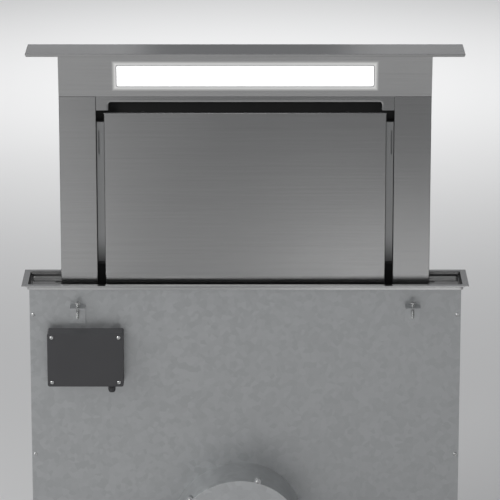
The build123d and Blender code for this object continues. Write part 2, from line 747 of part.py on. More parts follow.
def make_intake_frame():
    plate = block(both_sides(frame_half), (frame_face, frame_back), (FRAME_BOTTOM, head_bottom))
    window = block(
        (filter_inner + FILTER_MEMBER + WINDOW_OVERLAP, filter_outer - FILTER_MEMBER - WINDOW_OVERLAP),
        grown((frame_face, frame_back), OVERLAP),
        (filter_bottom + FILTER_MEMBER + WINDOW_OVERLAP, filter_top - FILTER_MEMBER - WINDOW_OVERLAP),
    )
    flange_edge = block(
        (frame_half - TOWER_SHEET, frame_half),
        (frame_face, frame_back + FRAME_FLANGE),
        (FRAME_BOTTOM, head_bottom),
    )
    rail_front = tower_front + RAIL_SETBACK
    rail_points = [
        (rail_front, FRAME_BOTTOM + RAIL_HEIGHT),
        (rail_front, FRAME_BOTTOM),
        (frame_back, FRAME_BOTTOM),
    ]
    rail = along_x(folded(rail_points, TOWER_SHEET, Side.LEFT), both_sides(frame_half))
    keeper_span = (keeper_z, keeper_z + TOWER_SHEET)
    keeper = block(both_sides(frame_half), (filter_front, frame_face), keeper_span)
    shelf_points = [
        (shelf_front, shelf_top + SHELF_LIP),
        (shelf_front, shelf_top - TOWER_SHEET),
        (frame_back, shelf_top - TOWER_SHEET),
    ]
    shelf = along_x(folded(shelf_points, TOWER_SHEET, Side.LEFT), both_sides(frame_half))
    tongue_x, tongue_y = latch_spans()
    tab = block(grown(tongue_x, KEEPER_TAB), (filter_front - KEEPER_TAB, filter_front), keeper_span)
    slot = block(
        grown(tongue_x, 2 * LATCH_CLEARANCE),
        grown(tongue_y, 2 * LATCH_CLEARANCE),
        grown(keeper_span, OVERLAP),
    )
    frame = plate + flange_edge + mirrored(flange_edge) + rail + shelf + keeper + tab + mirrored(tab)
    return frame - window - mirrored(window) - slot - mirrored(slot)


def make_filter_frame():
    x = (filter_inner, filter_outer)
    y = (filter_front, filter_back)
    z = (filter_bottom, filter_top)
    window = block(grown(x, -FILTER_MEMBER), grown(y, OVERLAP), grown(z, -FILTER_MEMBER))
    hollow = block(grown(x, -FILTER_SHEET), grown(y, -FILTER_SHEET), grown(z, -FILTER_SHEET))
    pull_x = filter_outer - PULL_INSET
    pull_z = filter_top - PULL_DROP - PULL_HEIGHT / 2
    place = Plane(origin=(pull_x, filter_front, pull_z), x_dir=(0, 0, 1), z_dir=(0, -1, 0))
    slot = extrude(place * SlotOverall(PULL_HEIGHT, PULL_WIDTH), 2 * FILTER_SHEET, both=True)
    return block(x, y, z) - window - hollow - slot


def make_filter_mesh():
    low = filter_inner + FILTER_SHEET + MESH_CLEARANCE
    high = filter_outer - FILTER_SHEET - MESH_CLEARANCE
    front = filter_front + FILTER_SHEET + MESH_CLEARANCE
    back = filter_back - FILTER_SHEET - MESH_CLEARANCE
    count = 2 * round((high - low) / MESH_PITCH)
    step = (high - low) / count
    crests = [(low + i * step, (front, back - MESH_SHEET)[i % 2]) for i in range(count + 1)]
    backs = [(x, y + MESH_SHEET) for x, y in reversed(crests)]
    section = make_face(Polyline(*crests, *backs, close=True))
    inset = FILTER_SHEET + MESH_CLEARANCE
    return upright(section, (filter_bottom + inset, filter_top - inset))


def rivet_places():
    """Centres of the two rivets that carry the right latch."""
    height = filter_top - FILTER_MEMBER / 2
    return [(latch_x + side * RIVET_SPACING / 2, filter_front, height) for side in (-1, 1)]


def make_filter_latch():
    tongue_x, y = latch_spans()
    plate_x = (latch_x - LATCH_WIDTH / 2, latch_x + LATCH_WIDTH / 2)
    plate = block(plate_x, y, (filter_top - LATCH_HEIGHT, filter_top - LATCH_CLEARANCE))
    tongue = block(tongue_x, y, (filter_top - LATCH_HEIGHT / 2, latch_top))
    tab = block(
        tongue_x,
        (y[0] - LATCH_TAB, y[1]),
        (filter_top - LATCH_HEIGHT, filter_top - LATCH_HEIGHT + LATCH_SHEET),
    )
    latch = plate + tongue + tab
    reach = RIVET_RADIUS + 2 * RUNNING
    for x, _, z in rivet_places():
        latch -= block((x - reach, x + reach), grown(y, OVERLAP), (z - reach, z + LATCH_TRAVEL + reach))
    return latch


def make_latch_rivets():
    head_start = LATCH_SHEET + 2 * LATCH_CLEARANCE
    profile = [
        (0, 0),
        (RIVET_RADIUS, 0),
        (RIVET_RADIUS, head_start),
        (RIVET_HEAD_RADIUS, head_start),
        (RIVET_HEAD_RADIUS, head_start + RIVET_HEAD),
        (0, head_start + RIVET_HEAD),
    ]
    rivets = [turned(profile, place, (0, -1, 0)) for place in rivet_places()]
    return Compound(rivets + [mirrored(rivet) for rivet in rivets])


# ---- Front panel on its ball studs
def clip_places():
    """Centres of the ball studs and their clips, in x and z."""
    upper = [(x, upper_clip_z) for x in both_sides(panel_half - UPPER_CLIP_INSET)]
    return upper + [(0, PANEL_BOTTOM + panel_height * place) for place in LOWER_CLIP_PLACES]


def make_front_panel():
    z = (PANEL_BOTTOM, panel_top)
    y = (tower_front, tower_front + PANEL_RETURN)
    body = block(both_sides(panel_half), y, z)
    body = fillet(body.faces().sort_by(Axis.Y)[0].edges(), PANEL_EDGE)
    hollow = block(
        both_sides(panel_half - TOWER_SHEET),
        (panel_back, y[1] + OVERLAP),
        grown(z, -TOWER_SHEET),
    )
    return body - hollow


def make_panel_studs():
    centre = ball_depth
    meet = centre - sqrt(BALL_RADIUS**2 - STUD_RADIUS**2)
    studs = []
    for x, z in clip_places():
        base = rod(STUD_BASE_RADIUS, (x, panel_back, z), (x, panel_back + STUD_BASE, z))
        neck = rod(STUD_RADIUS, (x, panel_back, z), (x, panel_back + meet + OVERLAP, z))
        ball = Pos(x, panel_back + centre, z) * Rot(90, 0, 0) * Sphere(BALL_RADIUS)
        studs.append(base + neck + ball)
    return Compound(studs)


def make_panel_clips():
    bore = BALL_RADIUS + BALL_CLEARANCE
    profile = [
        (0, 0),
        (CLIP_FLANGE_RADIUS, 0),
        (CLIP_FLANGE_RADIUS, CLIP_FLANGE),
        (CLIP_RADIUS, CLIP_FLANGE),
        (CLIP_RADIUS - CLIP_TAPER, clip_length),
        (bore, clip_length),
        (bore, CLIP_FLOOR),
        (0, CLIP_FLOOR),
    ]
    clips = []
    for x, z in clip_places():
        clip = turned(profile, (x, frame_face, z), (0, -1, 0))
        mouth = (frame_face - clip_length - OVERLAP, frame_face - clip_length / 2)
        for half in ((CLIP_SLIT / 2, 2 * CLIP_RADIUS), (2 * CLIP_RADIUS, CLIP_SLIT / 2)):
            clip -= block((x - half[0], x + half[0]), mouth, (z - half[1], z + half[1]))
        clips.append(clip)
    return Compound(clips)


# ---- Casing
def seam_screw_places():
    """Where the casing's front is screwed to the right side, seen from outside."""
    x = casing_in_x - SEAM_SCREW_INSET
    return [(x, -casing_out_y, z) for z in seam_screw_z]


def seam_holes():
    """Cutters for the screws of all four upright seams."""
    holes = [screw_hole((x, 0, z), (0, 1, 0), 2 * casing_out_y) for x, _, z in seam_screw_places()]
    return holes + [mirrored(hole) for hole in holes]


def foot_screw_places():
    """Where the right foot is screwed to the casing's side."""
    z = casing_bottom + FOOT_SCREW_RISE
    return [(casing_out_x + FOOT_SHEET, side * FOOT_SCREW_SPACING / 2, z) for side in (-1, 1)]


def casing_sheet(y):
    """One large wall of the casing."""
    sheet = block(both_sides(casing_out_x), y, (casing_bottom, casing_top))
    for hole in seam_holes():
        sheet -= hole
    return sheet


def make_casing_front():
    sheet = casing_sheet((-casing_out_y, -casing_in_y))
    outside, inside = grown((-casing_out_y, -casing_in_y), OVERLAP)
    return sheet - rod(inlet_radius, (0, outside, blower_z), (0, inside, blower_z))


def make_casing_back():
    return casing_sheet((casing_in_y, casing_out_y))


def make_casing_side():
    near = casing_in_x - CASING_RETURN
    points = [
        (near, -casing_in_y),
        (casing_out_x, -casing_in_y),
        (casing_out_x, casing_in_y),
        (near, casing_in_y),
    ]
    side = upright(folded(points, CASING_SHEET, Side.LEFT), (side_bottom, side_top))
    for hole in seam_holes():
        side -= hole
    for place in foot_screw_places():
        side -= screw_hole(place, (1, 0, 0))
    return side


def make_casing_base():
    size = (2 * casing_out_x, 2 * casing_in_y)
    inner = tuple(side - 2 * CASING_SHEET for side in size)
    tray = upright(RectangleRounded(*size, BEND), (casing_bottom, side_bottom))
    floor = casing_bottom + CASING_SHEET
    return tray - upright(RectangleRounded(*inner, BEND - CASING_SHEET), (floor, side_bottom + OVERLAP))


def make_worktop_clamps():
    points = [
        (casing_out_y, clamp_shelf - CLAMP_LEG),
        (casing_out_y, clamp_shelf),
        (casing_out_y + CLAMP_REACH, clamp_shelf),
    ]
    x = (clamp_x - CLAMP_WIDTH / 2, clamp_x + CLAMP_WIDTH / 2)
    clamp = along_x(folded(points, CLAMP_SHEET, Side.RIGHT), x)
    centre = casing_out_y + CLAMP_SCREW_REACH
    low, high = grown((clamp_shelf, clamp_shelf), CLAMP_LEG / 2)
    clamp -= rod(CLAMP_SCREW_RADIUS + RUNNING, (clamp_x, centre, low), (clamp_x, centre, high))
    back = [clamp, mirrored(clamp)]
    return Compound(back + [mirror(piece, about=Plane.XZ) for piece in back])


def make_clamp_screws():
    profile = [
        (0, 0),
        (CLAMP_PAD_RADIUS, 0),
        (CLAMP_PAD_RADIUS, CLAMP_PAD),
        (CLAMP_SCREW_RADIUS, CLAMP_PAD),
        (CLAMP_SCREW_RADIUS, CLAMP_SCREW_LENGTH),
        (0, CLAMP_SCREW_LENGTH),
    ]
    centre = casing_out_y + CLAMP_SCREW_REACH
    places = [(x, y) for x in both_sides(clamp_x) for y in both_sides(centre)]
    return Compound([turned(profile, (x, y, -WORKTOP_THICKNESS), (0, 0, -1)) for x, y in places])


def make_support_feet():
    bottom = casing_bottom - FOOT_SHEET
    points = [
        (casing_out_x, casing_bottom + FOOT_HEIGHT),
        (casing_out_x, bottom),
        (casing_out_x + FOOT_REACH, bottom),
    ]
    section = Plane.XZ * folded(points, FOOT_SHEET, Side.LEFT)
    foot = extrude(section, FOOT_WIDTH / 2, both=True)
    x = casing_out_x + FOOT_HOLE_REACH
    for y in both_sides(FOOT_HOLE_SPACING / 2):
        foot -= rod(FOOT_HOLE_RADIUS, (x, y, bottom - OVERLAP), (x, y, casing_bottom + OVERLAP))
    for place in foot_screw_places():
        foot -= screw_hole(place, (1, 0, 0))
    return Compound([foot, mirrored(foot)])


def make_casing_screws():
    front = [screw(place, (0, 1, 0)) for place in seam_screw_places()]
    front += [mirrored(piece) for piece in front]
    back = [mirror(piece, about=Plane.XZ) for piece in front]
    sides = [screw(place, (-1, 0, 0)) for place in foot_screw_places()]
    sides += [mirrored(piece) for piece in sides]
    blower = [screw(place, (0, 1, 0)) for place in lug_screw_places()]
    return Compound(front + back + sides + blower)


# ---- Lift: guides, racks, carriage and drive
def make_guide_rail():
    points = [
        (guide_mouth, shaft_y - GUIDE_HALF_WIDTH),
        (casing_in_x, shaft_y - GUIDE_HALF_WIDTH),
        (casing_in_x, shaft_y + GUIDE_HALF_WIDTH),
        (guide_mouth, shaft_y + GUIDE_HALF_WIDTH),
    ]
    z = (casing_bottom + GUIDE_BOTTOM_GAP, guide_top)
    return upright(folded(points, GUIDE_SHEET, Side.LEFT), z)


def make_rack():
    """Rack with its teeth to the front; a space is centred at the shaft's height."""
    lean = tan(radians(PRESSURE_ANGLE))
    tip_y = pitch_line - GEAR_MODULE
    root_y = pitch_line + root_depth
    half_tip = tooth_pitch / 4 - BACKLASH - GEAR_MODULE * lean
    half_root = tooth_pitch / 4 - BACKLASH + root_depth * lean
    below = int((shaft_z - rack_bottom) / tooth_pitch)
    above = int((rack_top - shaft_z) / tooth_pitch)
    points = [(rack_back, rack_bottom), (root_y, rack_bottom)]
    for index in range(-below, above):
        middle = shaft_z + (index + 0.5) * tooth_pitch
        points += [
            (root_y, middle - half_root),
            (tip_y, middle - half_tip),
            (tip_y, middle + half_tip),
            (root_y, middle + half_root),
        ]
    points += [(root_y, rack_top), (rack_back, rack_top)]
    return along_x(make_face(Polyline(*points, close=True)), pinion_x)


def make_rack_supports():
    low = pinion_x[0] - SUPPORT_OVERHANG
    high = pinion_x[1] + SUPPORT_OVERHANG
    web = rack_back + SUPPORT_SHEET
    points = [
        (low - SUPPORT_FOOT, casing_in_y),
        (low, casing_in_y),
        (low, web),
        (high, web),
        (high, casing_in_y),
        (high + SUPPORT_FOOT, casing_in_y),
    ]
    support = upright(folded(points, SUPPORT_SHEET, Side.RIGHT), (rack_bottom, rack_top))
    return Compound([support, mirrored(support)])


def involute(base_radius, angle):
    """Point of the involute that starts on the base circle at angle zero."""
    x = base_radius * (cos(angle) + angle * sin(angle))
    y = base_radius * (sin(angle) - angle * cos(angle))
    return x, y


def rotated(point, angle):
    """Point turned about zero."""
    x, y = point
    return (x * cos(angle) - y * sin(angle), x * sin(angle) + y * cos(angle))


def pinion_section():
    """Involute pinion around zero with one tooth along +X of its plane."""
    base = pitch_radius * cos(radians(PRESSURE_ANGLE))
    at_pitch = sqrt((pitch_radius / base) ** 2 - 1)
    x, y = involute(base, at_pitch)
    half_tooth = pi / (2 * PINION_TEETH) - BACKLASH / pitch_radius + asin(y / hypot(x, y))
    last = sqrt((tip_radius / base) ** 2 - 1)
    flank = [involute(base, last * step / FLANK_STEPS) for step in range(FLANK_STEPS + 1)]
    flank = [(pitch_radius - root_depth, 0)] + flank
    points = []
    for tooth in range(PINION_TEETH):
        turn = 2 * pi * tooth / PINION_TEETH
        points += [rotated(point, turn - half_tooth) for point in flank]
        points += [rotated((x, -y), turn + half_tooth) for x, y in reversed(flank)]
    return make_face(Polyline(*points, close=True))


def make_drive_pinions():
    plane = Plane(origin=(pinion_x[0], shaft_y, shaft_z), x_dir=(0, 1, 0), z_dir=(1, 0, 0))
    section = pinion_section() - Circle(SHAFT_RADIUS)
    pinion = extrude(plane * section, PINION_WIDTH)
    return Compound([pinion, mirrored(pinion)])


def make_sync_shaft():
    end = pinion_x[1] + SHAFT_END
    return rod(SHAFT_RADIUS, (-end, shaft_y, shaft_z), (end, shaft_y, shaft_z))


def shaft_hole():
    """Cutter for everything that the shaft turns in."""
    end = pinion_x[1] + 2 * SHAFT_END
    return rod(SHAFT_RADIUS + RUNNING, (-end, shaft_y, shaft_z), (end, shaft_y, shaft_z))


def make_carriage_plate():
    outer = shoe_near + SHOE_FOOT_LENGTH
    inside_column = tower_half - TOWER_SHEET - FRAME_CLEARANCE
    under_column = tower_bottom - FRAME_CLEARANCE
    outline = [
        (carriage_inner, carriage_top),
        (inside_column, carriage_top),
        (inside_column, under_column),
        (outer, under_column),
        (outer, carriage_bottom),
        (carriage_inner, carriage_bottom),
    ]
    plane = Plane(origin=(0, carriage_front, 0), x_dir=(1, 0, 0), z_dir=(0, -1, 0))
    plate = extrude(plane * make_face(Polyline(*outline, close=True)), -CARRIAGE_SHEET)
    corners = plate.edges().filter_by(Axis.Y)
    lower = corners.sort_by(Axis.Z)[:2]
    plate = fillet(lower, CARRIAGE_CORNER)
    for place in carriage_screw_places() + beam_screw_places():
        plate -= screw_hole(place, (0, 1, 0))
    return plate


def make_carriage_beam():
    points = [
        (carriage_back, beam_top),
        (carriage_back, carriage_bottom),
        (carriage_back + BEAM_DEPTH, carriage_bottom),
        (carriage_back + BEAM_DEPTH, carriage_bottom + BEAM_REAR_LIP),
    ]
    beam = along_x(folded(points, BEAM_SHEET, Side.LEFT), both_sides(beam_half))
    middle_y = carriage_back + BEAM_DEPTH / 2
    for x in beam_window_x:
        slot = Pos(x, middle_y, carriage_bottom) * SlotOverall(BEAM_WINDOW_LENGTH, BEAM_WINDOW_DEPTH)
        window = extrude(slot, 2 * BEAM_SHEET, both=True)
        start, end = grown((carriage_back, carriage_back + BEAM_SHEET), OVERLAP)
        hole = rod(BEAM_HOLE_RADIUS, (x, start, shaft_z), (x, end, shaft_z))
        beam -= window + mirrored(window) + hole + mirrored(hole)
    for place in beam_screw_places():
        hole = screw_hole(place, (0, 1, 0))
        beam -= hole + mirrored(hole)
    return beam


def make_guide_shoes():
    foot_back = shaft_y - GUIDE_HALF_WIDTH - SHOE_FOOT_GAP
    web_far = guide_mouth - SHOE_CLEARANCE
    front, back = shaft_y - shoe_half, shaft_y + shoe_half
    outline = [
        (shoe_near, carriage_back),
        (shoe_near + SHOE_FOOT_LENGTH, carriage_back),
        (shoe_near + SHOE_FOOT_LENGTH, foot_back),
        (web_far, foot_back),
        (web_far, front),
        (shoe_far, front),
        (shoe_far, back),
        (shoe_near, back),
    ]
    section = make_face(Polyline(*outline, close=True))
    upper = tower_bottom - FRAME_CLEARANCE - SHOE_CLEARANCE
    tops = (upper, carriage_bottom + SHOE_HEIGHT)
    shoes = [upright(section, (top - SHOE_HEIGHT, top)) for top in tops]
    return Compound(shoes + [mirrored(shoe) for shoe in shoes])


def make_shaft_bearings():
    z = (shaft_z - BEARING_HALF, shaft_z + BEARING_HALF)
    bearing = block(bearing_x, (carriage_back, shaft_y), z)
    bearing += rod(BEARING_HALF, (bearing_x[0], shaft_y, shaft_z), (bearing_x[1], shaft_y, shaft_z))
    bearing -= shaft_hole()
    return Compound([bearing, mirrored(bearing)])


def make_lift_gearmotor():
    front = carriage_back + BEAM_SHEET
    gearbox = block(
        both_sides(GEARBOX_HALF),
        (front, front + GEARBOX_DEPTH),
        (shaft_z - GEARBOX_BOTTOM, shaft_z + GEARBOX_TOP),
    )
    gearbox = fillet(gearbox.edges().filter_by(Axis.Z), GEARBOX_EDGE)
    start = shaft_z + GEARBOX_TOP
    profile = [
        (0, -OVERLAP),
        (MOTOR_RADIUS, -OVERLAP),
        (MOTOR_RADIUS, MOTOR_LENGTH - MOTOR_CAP),
        (MOTOR_RADIUS - MOTOR_CAP, MOTOR_LENGTH),
        (0, MOTOR_LENGTH),
    ]
    return gearbox + turned(profile, (0, shaft_y + MOTOR_SETBACK, start), (0, 0, 1)) - shaft_hole()


def make_tower_screws():
    places = carriage_screw_places() + beam_screw_places()
    screws = [screw(place, (0, 1, 0)) for place in places]
    return Compound(screws + [mirrored(piece) for piece in screws])


def make_limit_switches():
    """Switch bodies on the right rack support, at both ends of the shaft's travel."""
    wall = pinion_x[0] - SUPPORT_OVERHANG - SUPPORT_SHEET
    x = (wall - SWITCH_WIDTH, wall)
    trip = shaft_y + BEARING_HALF + SWITCH_CLEARANCE
    switches = []
    for z in (shaft_z, shaft_z - LIFT_TRAVEL):
        body = block(x, (rack_back, casing_in_y - SWITCH_BACK_GAP), (z - SWITCH_HALF, z + SWITCH_HALF))
        root = z - SWITCH_HALF + SWITCH_ARM
        arm = [
            (rack_back + OVERLAP, root),
            (trip, z),
            (trip + SWITCH_ARM, z + SWITCH_ARM),
            (rack_back + OVERLAP, root + 2 * SWITCH_ARM),
        ]
        switches.append(body + along_x(make_face(Polyline(*arm, close=True)), grown(x, -SWITCH_ARM)))
    return Compound(switches)


# ---- Electronics box with its gland
def box_outline(inset):
    """Outline of the box on the casing's front, seen from the front."""
    width, height = BOX_WIDTH - 2 * inset, BOX_HEIGHT - 2 * inset
    centre = (box_left + BOX_WIDTH / 2, -casing_out_y, box_top - BOX_HEIGHT / 2)
    plane = Plane(origin=centre, x_dir=(1, 0, 0), z_dir=(0, -1, 0))
    return plane, RectangleRounded(width, height, BOX_CORNER - inset / 2)


def gland_place():
    """Middle of the gland, at the box's lower wall."""
    x = box_left + BOX_WIDTH - GLAND_INSET
    return (x, -casing_out_y - BOX_DEPTH / 2, box_top - BOX_HEIGHT)


def make_electronics_box():
    plane, outer = box_outline(0)
    _, inner = box_outline(BOX_WALL)
    box = extrude(plane * outer, BOX_DEPTH) - extrude(plane.offset(BOX_WALL) * inner, BOX_DEPTH)
    x, y, z = gland_place()
    low, high = grown((z, z + BOX_WALL), OVERLAP)
    return box - rod(GLAND_NECK + RUNNING, (x, y, low), (x, y, high))


def make_electronics_cover():
    plane, outer = box_outline(0)
    _, step = box_outline(BOX_WALL + RUNNING)
    cover = extrude(plane.offset(BOX_DEPTH) * outer, COVER_THICKNESS)
    cover = fillet(cover.faces().sort_by(Axis.Y)[0].edges(), COVER_THICKNESS / 2)
    return cover + extrude(plane.offset(BOX_DEPTH) * step, -COVER_STEP)


def make_control_board():
    """Board on four posts, with its terminals, transformer and relays."""
    plane, _ = box_outline(0)
    margin = BOX_WALL + BOARD_INSET
    width, height = BOX_WIDTH - 2 * margin, BOX_HEIGHT - 2 * margin
    grid = GridLocations(width - 2 * POST_INSET, height - 2 * POST_INSET, 2, 2)
    posts = Sketch() + [place * Circle(POST_RADIUS) for place in grid]
    board = extrude(plane.offset(BOX_WALL) * posts, POST_HEIGHT)
    board += extrude(plane.offset(BOX_WALL + POST_HEIGHT) * Rectangle(width, height), BOARD_SHEET)
    face = plane.offset(BOX_WALL + POST_HEIGHT + BOARD_SHEET)
    terminals = Pos(0, TERMINAL_INSET - height / 2) * Rectangle(TERMINAL_LENGTH, TERMINAL_WIDTH)
    board += extrude(face * terminals, TERMINAL_DEPTH)
    transformer = Pos(-TRANSFORMER_OFFSET, PARTS_RISE) * Rectangle(TRANSFORMER_SIDE, TRANSFORMER_SIDE)
    board += extrude(face * transformer, TRANSFORMER_DEPTH)
    row = Pos(RELAY_OFFSET, PARTS_RISE) * GridLocations(RELAY_PITCH, 1, RELAY_COUNT, 1)
    relays = Sketch() + [place * Rectangle(RELAY_WIDTH, RELAY_LENGTH) for place in row]
    return board + extrude(face * relays, RELAY_DEPTH)


def make_cable_gland():
    profile = [
        (GLAND_BORE, -BOX_WALL - GLAND_COLLAR),
        (GLAND_NECK, -BOX_WALL - GLAND_COLLAR),
        (GLAND_NECK, 0),
        (GLAND_RADIUS, 0),
        (GLAND_RADIUS, GLAND_COLLAR),
        (GLAND_NECK, GLAND_LENGTH),
        (GLAND_BORE, GLAND_LENGTH),
    ]
    return turned(profile, gland_place(), (0, 0, -1))


# ---- Blower
def volute_arcs():
    """Centre, radius and start angle of each arc of the scroll, from the tongue round to the outlet."""
    half = VOLUTE_STEP / 2
    centres = [(half, half), (-half, half), (-half, -half), (half, -half)]
    radii = [volute_start + index * VOLUTE_STEP for index in range(len(centres))]
    return list(zip(centres, radii, (-90, 0, 90, 180)))


def volute_section(grow, outlet):
    """Scroll seen from the front, larger by grow, with its mouth at the outlet's x."""
    arcs = volute_arcs()
    lines = []
    for index, (centre, radius, start) in enumerate(arcs):
        first = TONGUE_ANGLE if index == 0 else start
        lines.append(CenterArc(centre, radius + grow, first, start + 90 - first))
    tongue = lines[0] @ 0
    floor = lines[-1] @ 1
    lines.append(Polyline(floor, (outlet, floor.Y), (outlet, tongue.Y), tongue))
    return make_face(lines)


def volute_plane(y):
    """Plane of the scroll's section, facing the front."""
    return Plane(origin=(0, y, blower_z), x_dir=(1, 0, 0), z_dir=(0, -1, 0))


def lug_places():
    """Centres of the screw lugs round the scroll, in its plane."""
    places = []
    for angle in LUG_ANGLES:
        centre, radius, _ = [arc for arc in volute_arcs() if arc[2] <= angle][-1]
        reach = radius + BLOWER_WALL + LUG_RADIUS / 2
        places.append((centre[0] + reach * cos(radians(angle)), centre[1] + reach * sin(radians(angle))))
    return places


def lug_screw_places():
    """Where the cover's screws meet the cover."""
    return [(x, cover_front, blower_z + z) for x, z in lug_places()]


def lugs(start, length):
    """Round lugs, from a depth towards the front."""
    section = Sketch() + [Pos(*place) * Circle(LUG_RADIUS) for place in lug_places()]
    return extrude(volute_plane(start) * section, length)


def make_blower_housing():
    shell = extrude(volute_plane(blower_back) * volute_section(BLOWER_WALL, outlet_x), BLOWER_DEPTH)
    shell += lugs(blower_front + LUG_LENGTH, LUG_LENGTH)
    cavity = volute_plane(blower_back - BLOWER_WALL) * volute_section(0, outlet_x + OVERLAP)
    shell -= extrude(cavity, BLOWER_DEPTH)
    inside, outside = grown((blower_back - BLOWER_WALL, blower_back), OVERLAP)
    shell -= rod(inlet_radius, (0, outside, blower_z), (0, inside, blower_z))
    for place in lug_screw_places():
        shell -= screw_hole(place, (0, 1, 0))
    return shell


def make_blower_cover():
    cover = extrude(volute_plane(blower_front) * volute_section(BLOWER_WALL, outlet_x), BLOWER_WALL)
    cover += lugs(blower_front, BLOWER_WALL)
    outside, inside = grown((cover_front, blower_front), OVERLAP)
    cover -= rod(2 * FAN_SHAFT_RADIUS, (0, outside, blower_z), (0, inside, blower_z))
    for place in lug_screw_places():
        cover -= screw_hole(place, (0, 1, 0))
    return cover


def make_blower_motor():
    bore = FAN_SHAFT_RADIUS + RUNNING
    bore_end = fan_shaft_in_motor + OVERLAP
    flange_radius = FAN_MOTOR_RADIUS + FAN_MOTOR_FLANGE_WIDTH
    profile = [
        (bore, 0),
        (flange_radius, 0),
        (flange_radius, FAN_MOTOR_FLANGE),
        (FAN_MOTOR_RADIUS, FAN_MOTOR_FLANGE),
        (FAN_MOTOR_RADIUS, FAN_MOTOR_LENGTH - FAN_MOTOR_EDGE),
        (FAN_MOTOR_RADIUS - FAN_MOTOR_EDGE, FAN_MOTOR_LENGTH),
        (0, FAN_MOTOR_LENGTH),
        (0, bore_end),
        (bore, bore_end),
    ]
    return turned(profile, (0, cover_front, blower_z), (0, -1, 0))


def make_motor_shaft():
    start = impeller_plate_y + HUB_LENGTH
    return rod(FAN_SHAFT_RADIUS, (0, start, blower_z), (0, cover_front - fan_shaft_in_motor, blower_z))


def make_impeller():
    """Forward-curved wheel: hub and plate at the front, ring round the open eye at the back."""
    plane = volute_plane(impeller_plate_y)
    plate = extrude(plane * (Circle(IMPELLER_RADIUS) - Circle(FAN_SHAFT_RADIUS)), -IMPELLER_PLATE)
    hub = extrude(plane * (Circle(HUB_RADIUS) - Circle(FAN_SHAFT_RADIUS)), -HUB_LENGTH)
    eye = Circle(IMPELLER_RADIUS) - Circle(impeller_eye)
    eye_ring = extrude(plane.offset(IMPELLER_PLATE - impeller_length) * eye, -IMPELLER_PLATE)
    inner = impeller_eye + BLADE_SHEET
    outer = IMPELLER_RADIUS - BLADE_SHEET
    middle = (inner + outer) / 2
    camber = ThreePointArc((inner, 0), (middle, BLADE_BOW), (outer, 0))
    back = BLADE_BOW - BLADE_SHEET
    far = ThreePointArc((inner, -BLADE_SHEET), (middle, back), (outer, -BLADE_SHEET))
    ends = [Line((inner, 0), (inner, -BLADE_SHEET)), Line((outer, 0), (outer, -BLADE_SHEET))]
    blade = make_face([camber, far] + ends)
    blades = Sketch() + [Rot(0, 0, 360 * index / BLADE_COUNT) * blade for index in range(BLADE_COUNT)]
    cage = extrude(plane * blades, -(impeller_length - IMPELLER_PLATE / 2))
    return plate + hub + eye_ring + cage


# ---- Outlet with its two non-return flaps
outlet_low = blower_z + volute_arcs()[-1][0][1] - volute_arcs()[-1][1]
outlet_high = blower_z + VOLUTE_STEP / 2 + volute_start * sin(radians(TONGUE_ANGLE))
outlet_z = (outlet_low + outlet_high) / 2
outlet_y = (blower_back - BLOWER_WALL + blower_front) / 2


def mouth_size(grow):
    """Opening of the blower's mouth, in y and z."""
    return (blower_back - BLOWER_WALL - blower_front + 2 * grow, outlet_high - outlet_low + 2 * grow)


def transition(grow, radius, start, end):
    """Loft from the square mouth to the round duct."""
    mouth = Plane(origin=(start, outlet_y, outlet_z), x_dir=(0, 1, 0), z_dir=(1, 0, 0))
    duct = Plane(origin=(end, duct_y, outlet_z), x_dir=(0, 1, 0), z_dir=(1, 0, 0))
    return loft([mouth * RectangleRounded(*mouth_size(grow), MOUTH_CORNER + grow), duct * Circle(radius)])


def flap_axis_y(side):
    """Hinge line of one flap: the rear one is on side +1."""
    return duct_y + side * FLAP_OFFSET


def make_outlet_collar():
    plate_x = (outlet_x, outlet_x + COLLAR_FLANGE)
    size = mouth_size(COLLAR_FLANGE_WIDTH)
    size = (size[0] - 2 * (COLLAR_FLANGE_WIDTH - BLOWER_WALL), size[1])
    mouth = Plane(origin=(plate_x[0], outlet_y, outlet_z), x_dir=(0, 1, 0), z_dir=(1, 0, 0))
    plate = extrude(mouth * Rectangle(*size), COLLAR_FLANGE)
    body = plate + transition(DUCT_WALL, DUCT_RADIUS, plate_x[1], duct_start)
    body += rod(DUCT_RADIUS, (duct_start, duct_y, outlet_z), (duct_end, duct_y, outlet_z))
    inner = DUCT_RADIUS - DUCT_WALL
    body -= extrude(mouth * RectangleRounded(*mouth_size(0), MOUTH_CORNER), COLLAR_FLANGE)
    body -= transition(0, inner, plate_x[1], duct_start)
    body -= rod(inner, (duct_start, duct_y, outlet_z), (duct_end + OVERLAP, duct_y, outlet_z))
    for side in (-1, 1):
        y = flap_axis_y(side)
        reach = 2 * DUCT_RADIUS
        body -= rod(FLAP_ROD + RUNNING, (flap_x, y, outlet_z - reach), (flap_x, y, outlet_z + reach))
    return body


def make_damper_flap(side):
    """Half disc on a rod across the duct; the rear flap is side +1."""
    radius = DUCT_RADIUS - DUCT_WALL - FLAP_GAP
    plane = Plane(origin=(flap_x - FLAP_SHEET / 2, duct_y, outlet_z), x_dir=(0, 1, 0), z_dir=(1, 0, 0))
    half = Pos(side * (FLAP_OFFSET + radius), 0) * Rectangle(2 * radius, 2 * radius)
    flap = extrude(plane * (Circle(radius) & half), FLAP_SHEET)
    reach = sqrt(DUCT_RADIUS**2 - FLAP_OFFSET**2) - FLAP_GAP
    y = flap_axis_y(side)
    return flap + rod(FLAP_ROD, (flap_x, y, outlet_z - reach), (flap_x, y, outlet_z + reach))


# ---- Everything, by node
column_right = make_column()
rack_right = make_rack()
guide_right = make_guide_rail()
side_right = make_casing_side()
plate_right = make_carriage_plate()
filter_right = make_filter_frame()
mesh_right = make_filter_mesh()
latch_right = make_filter_latch()

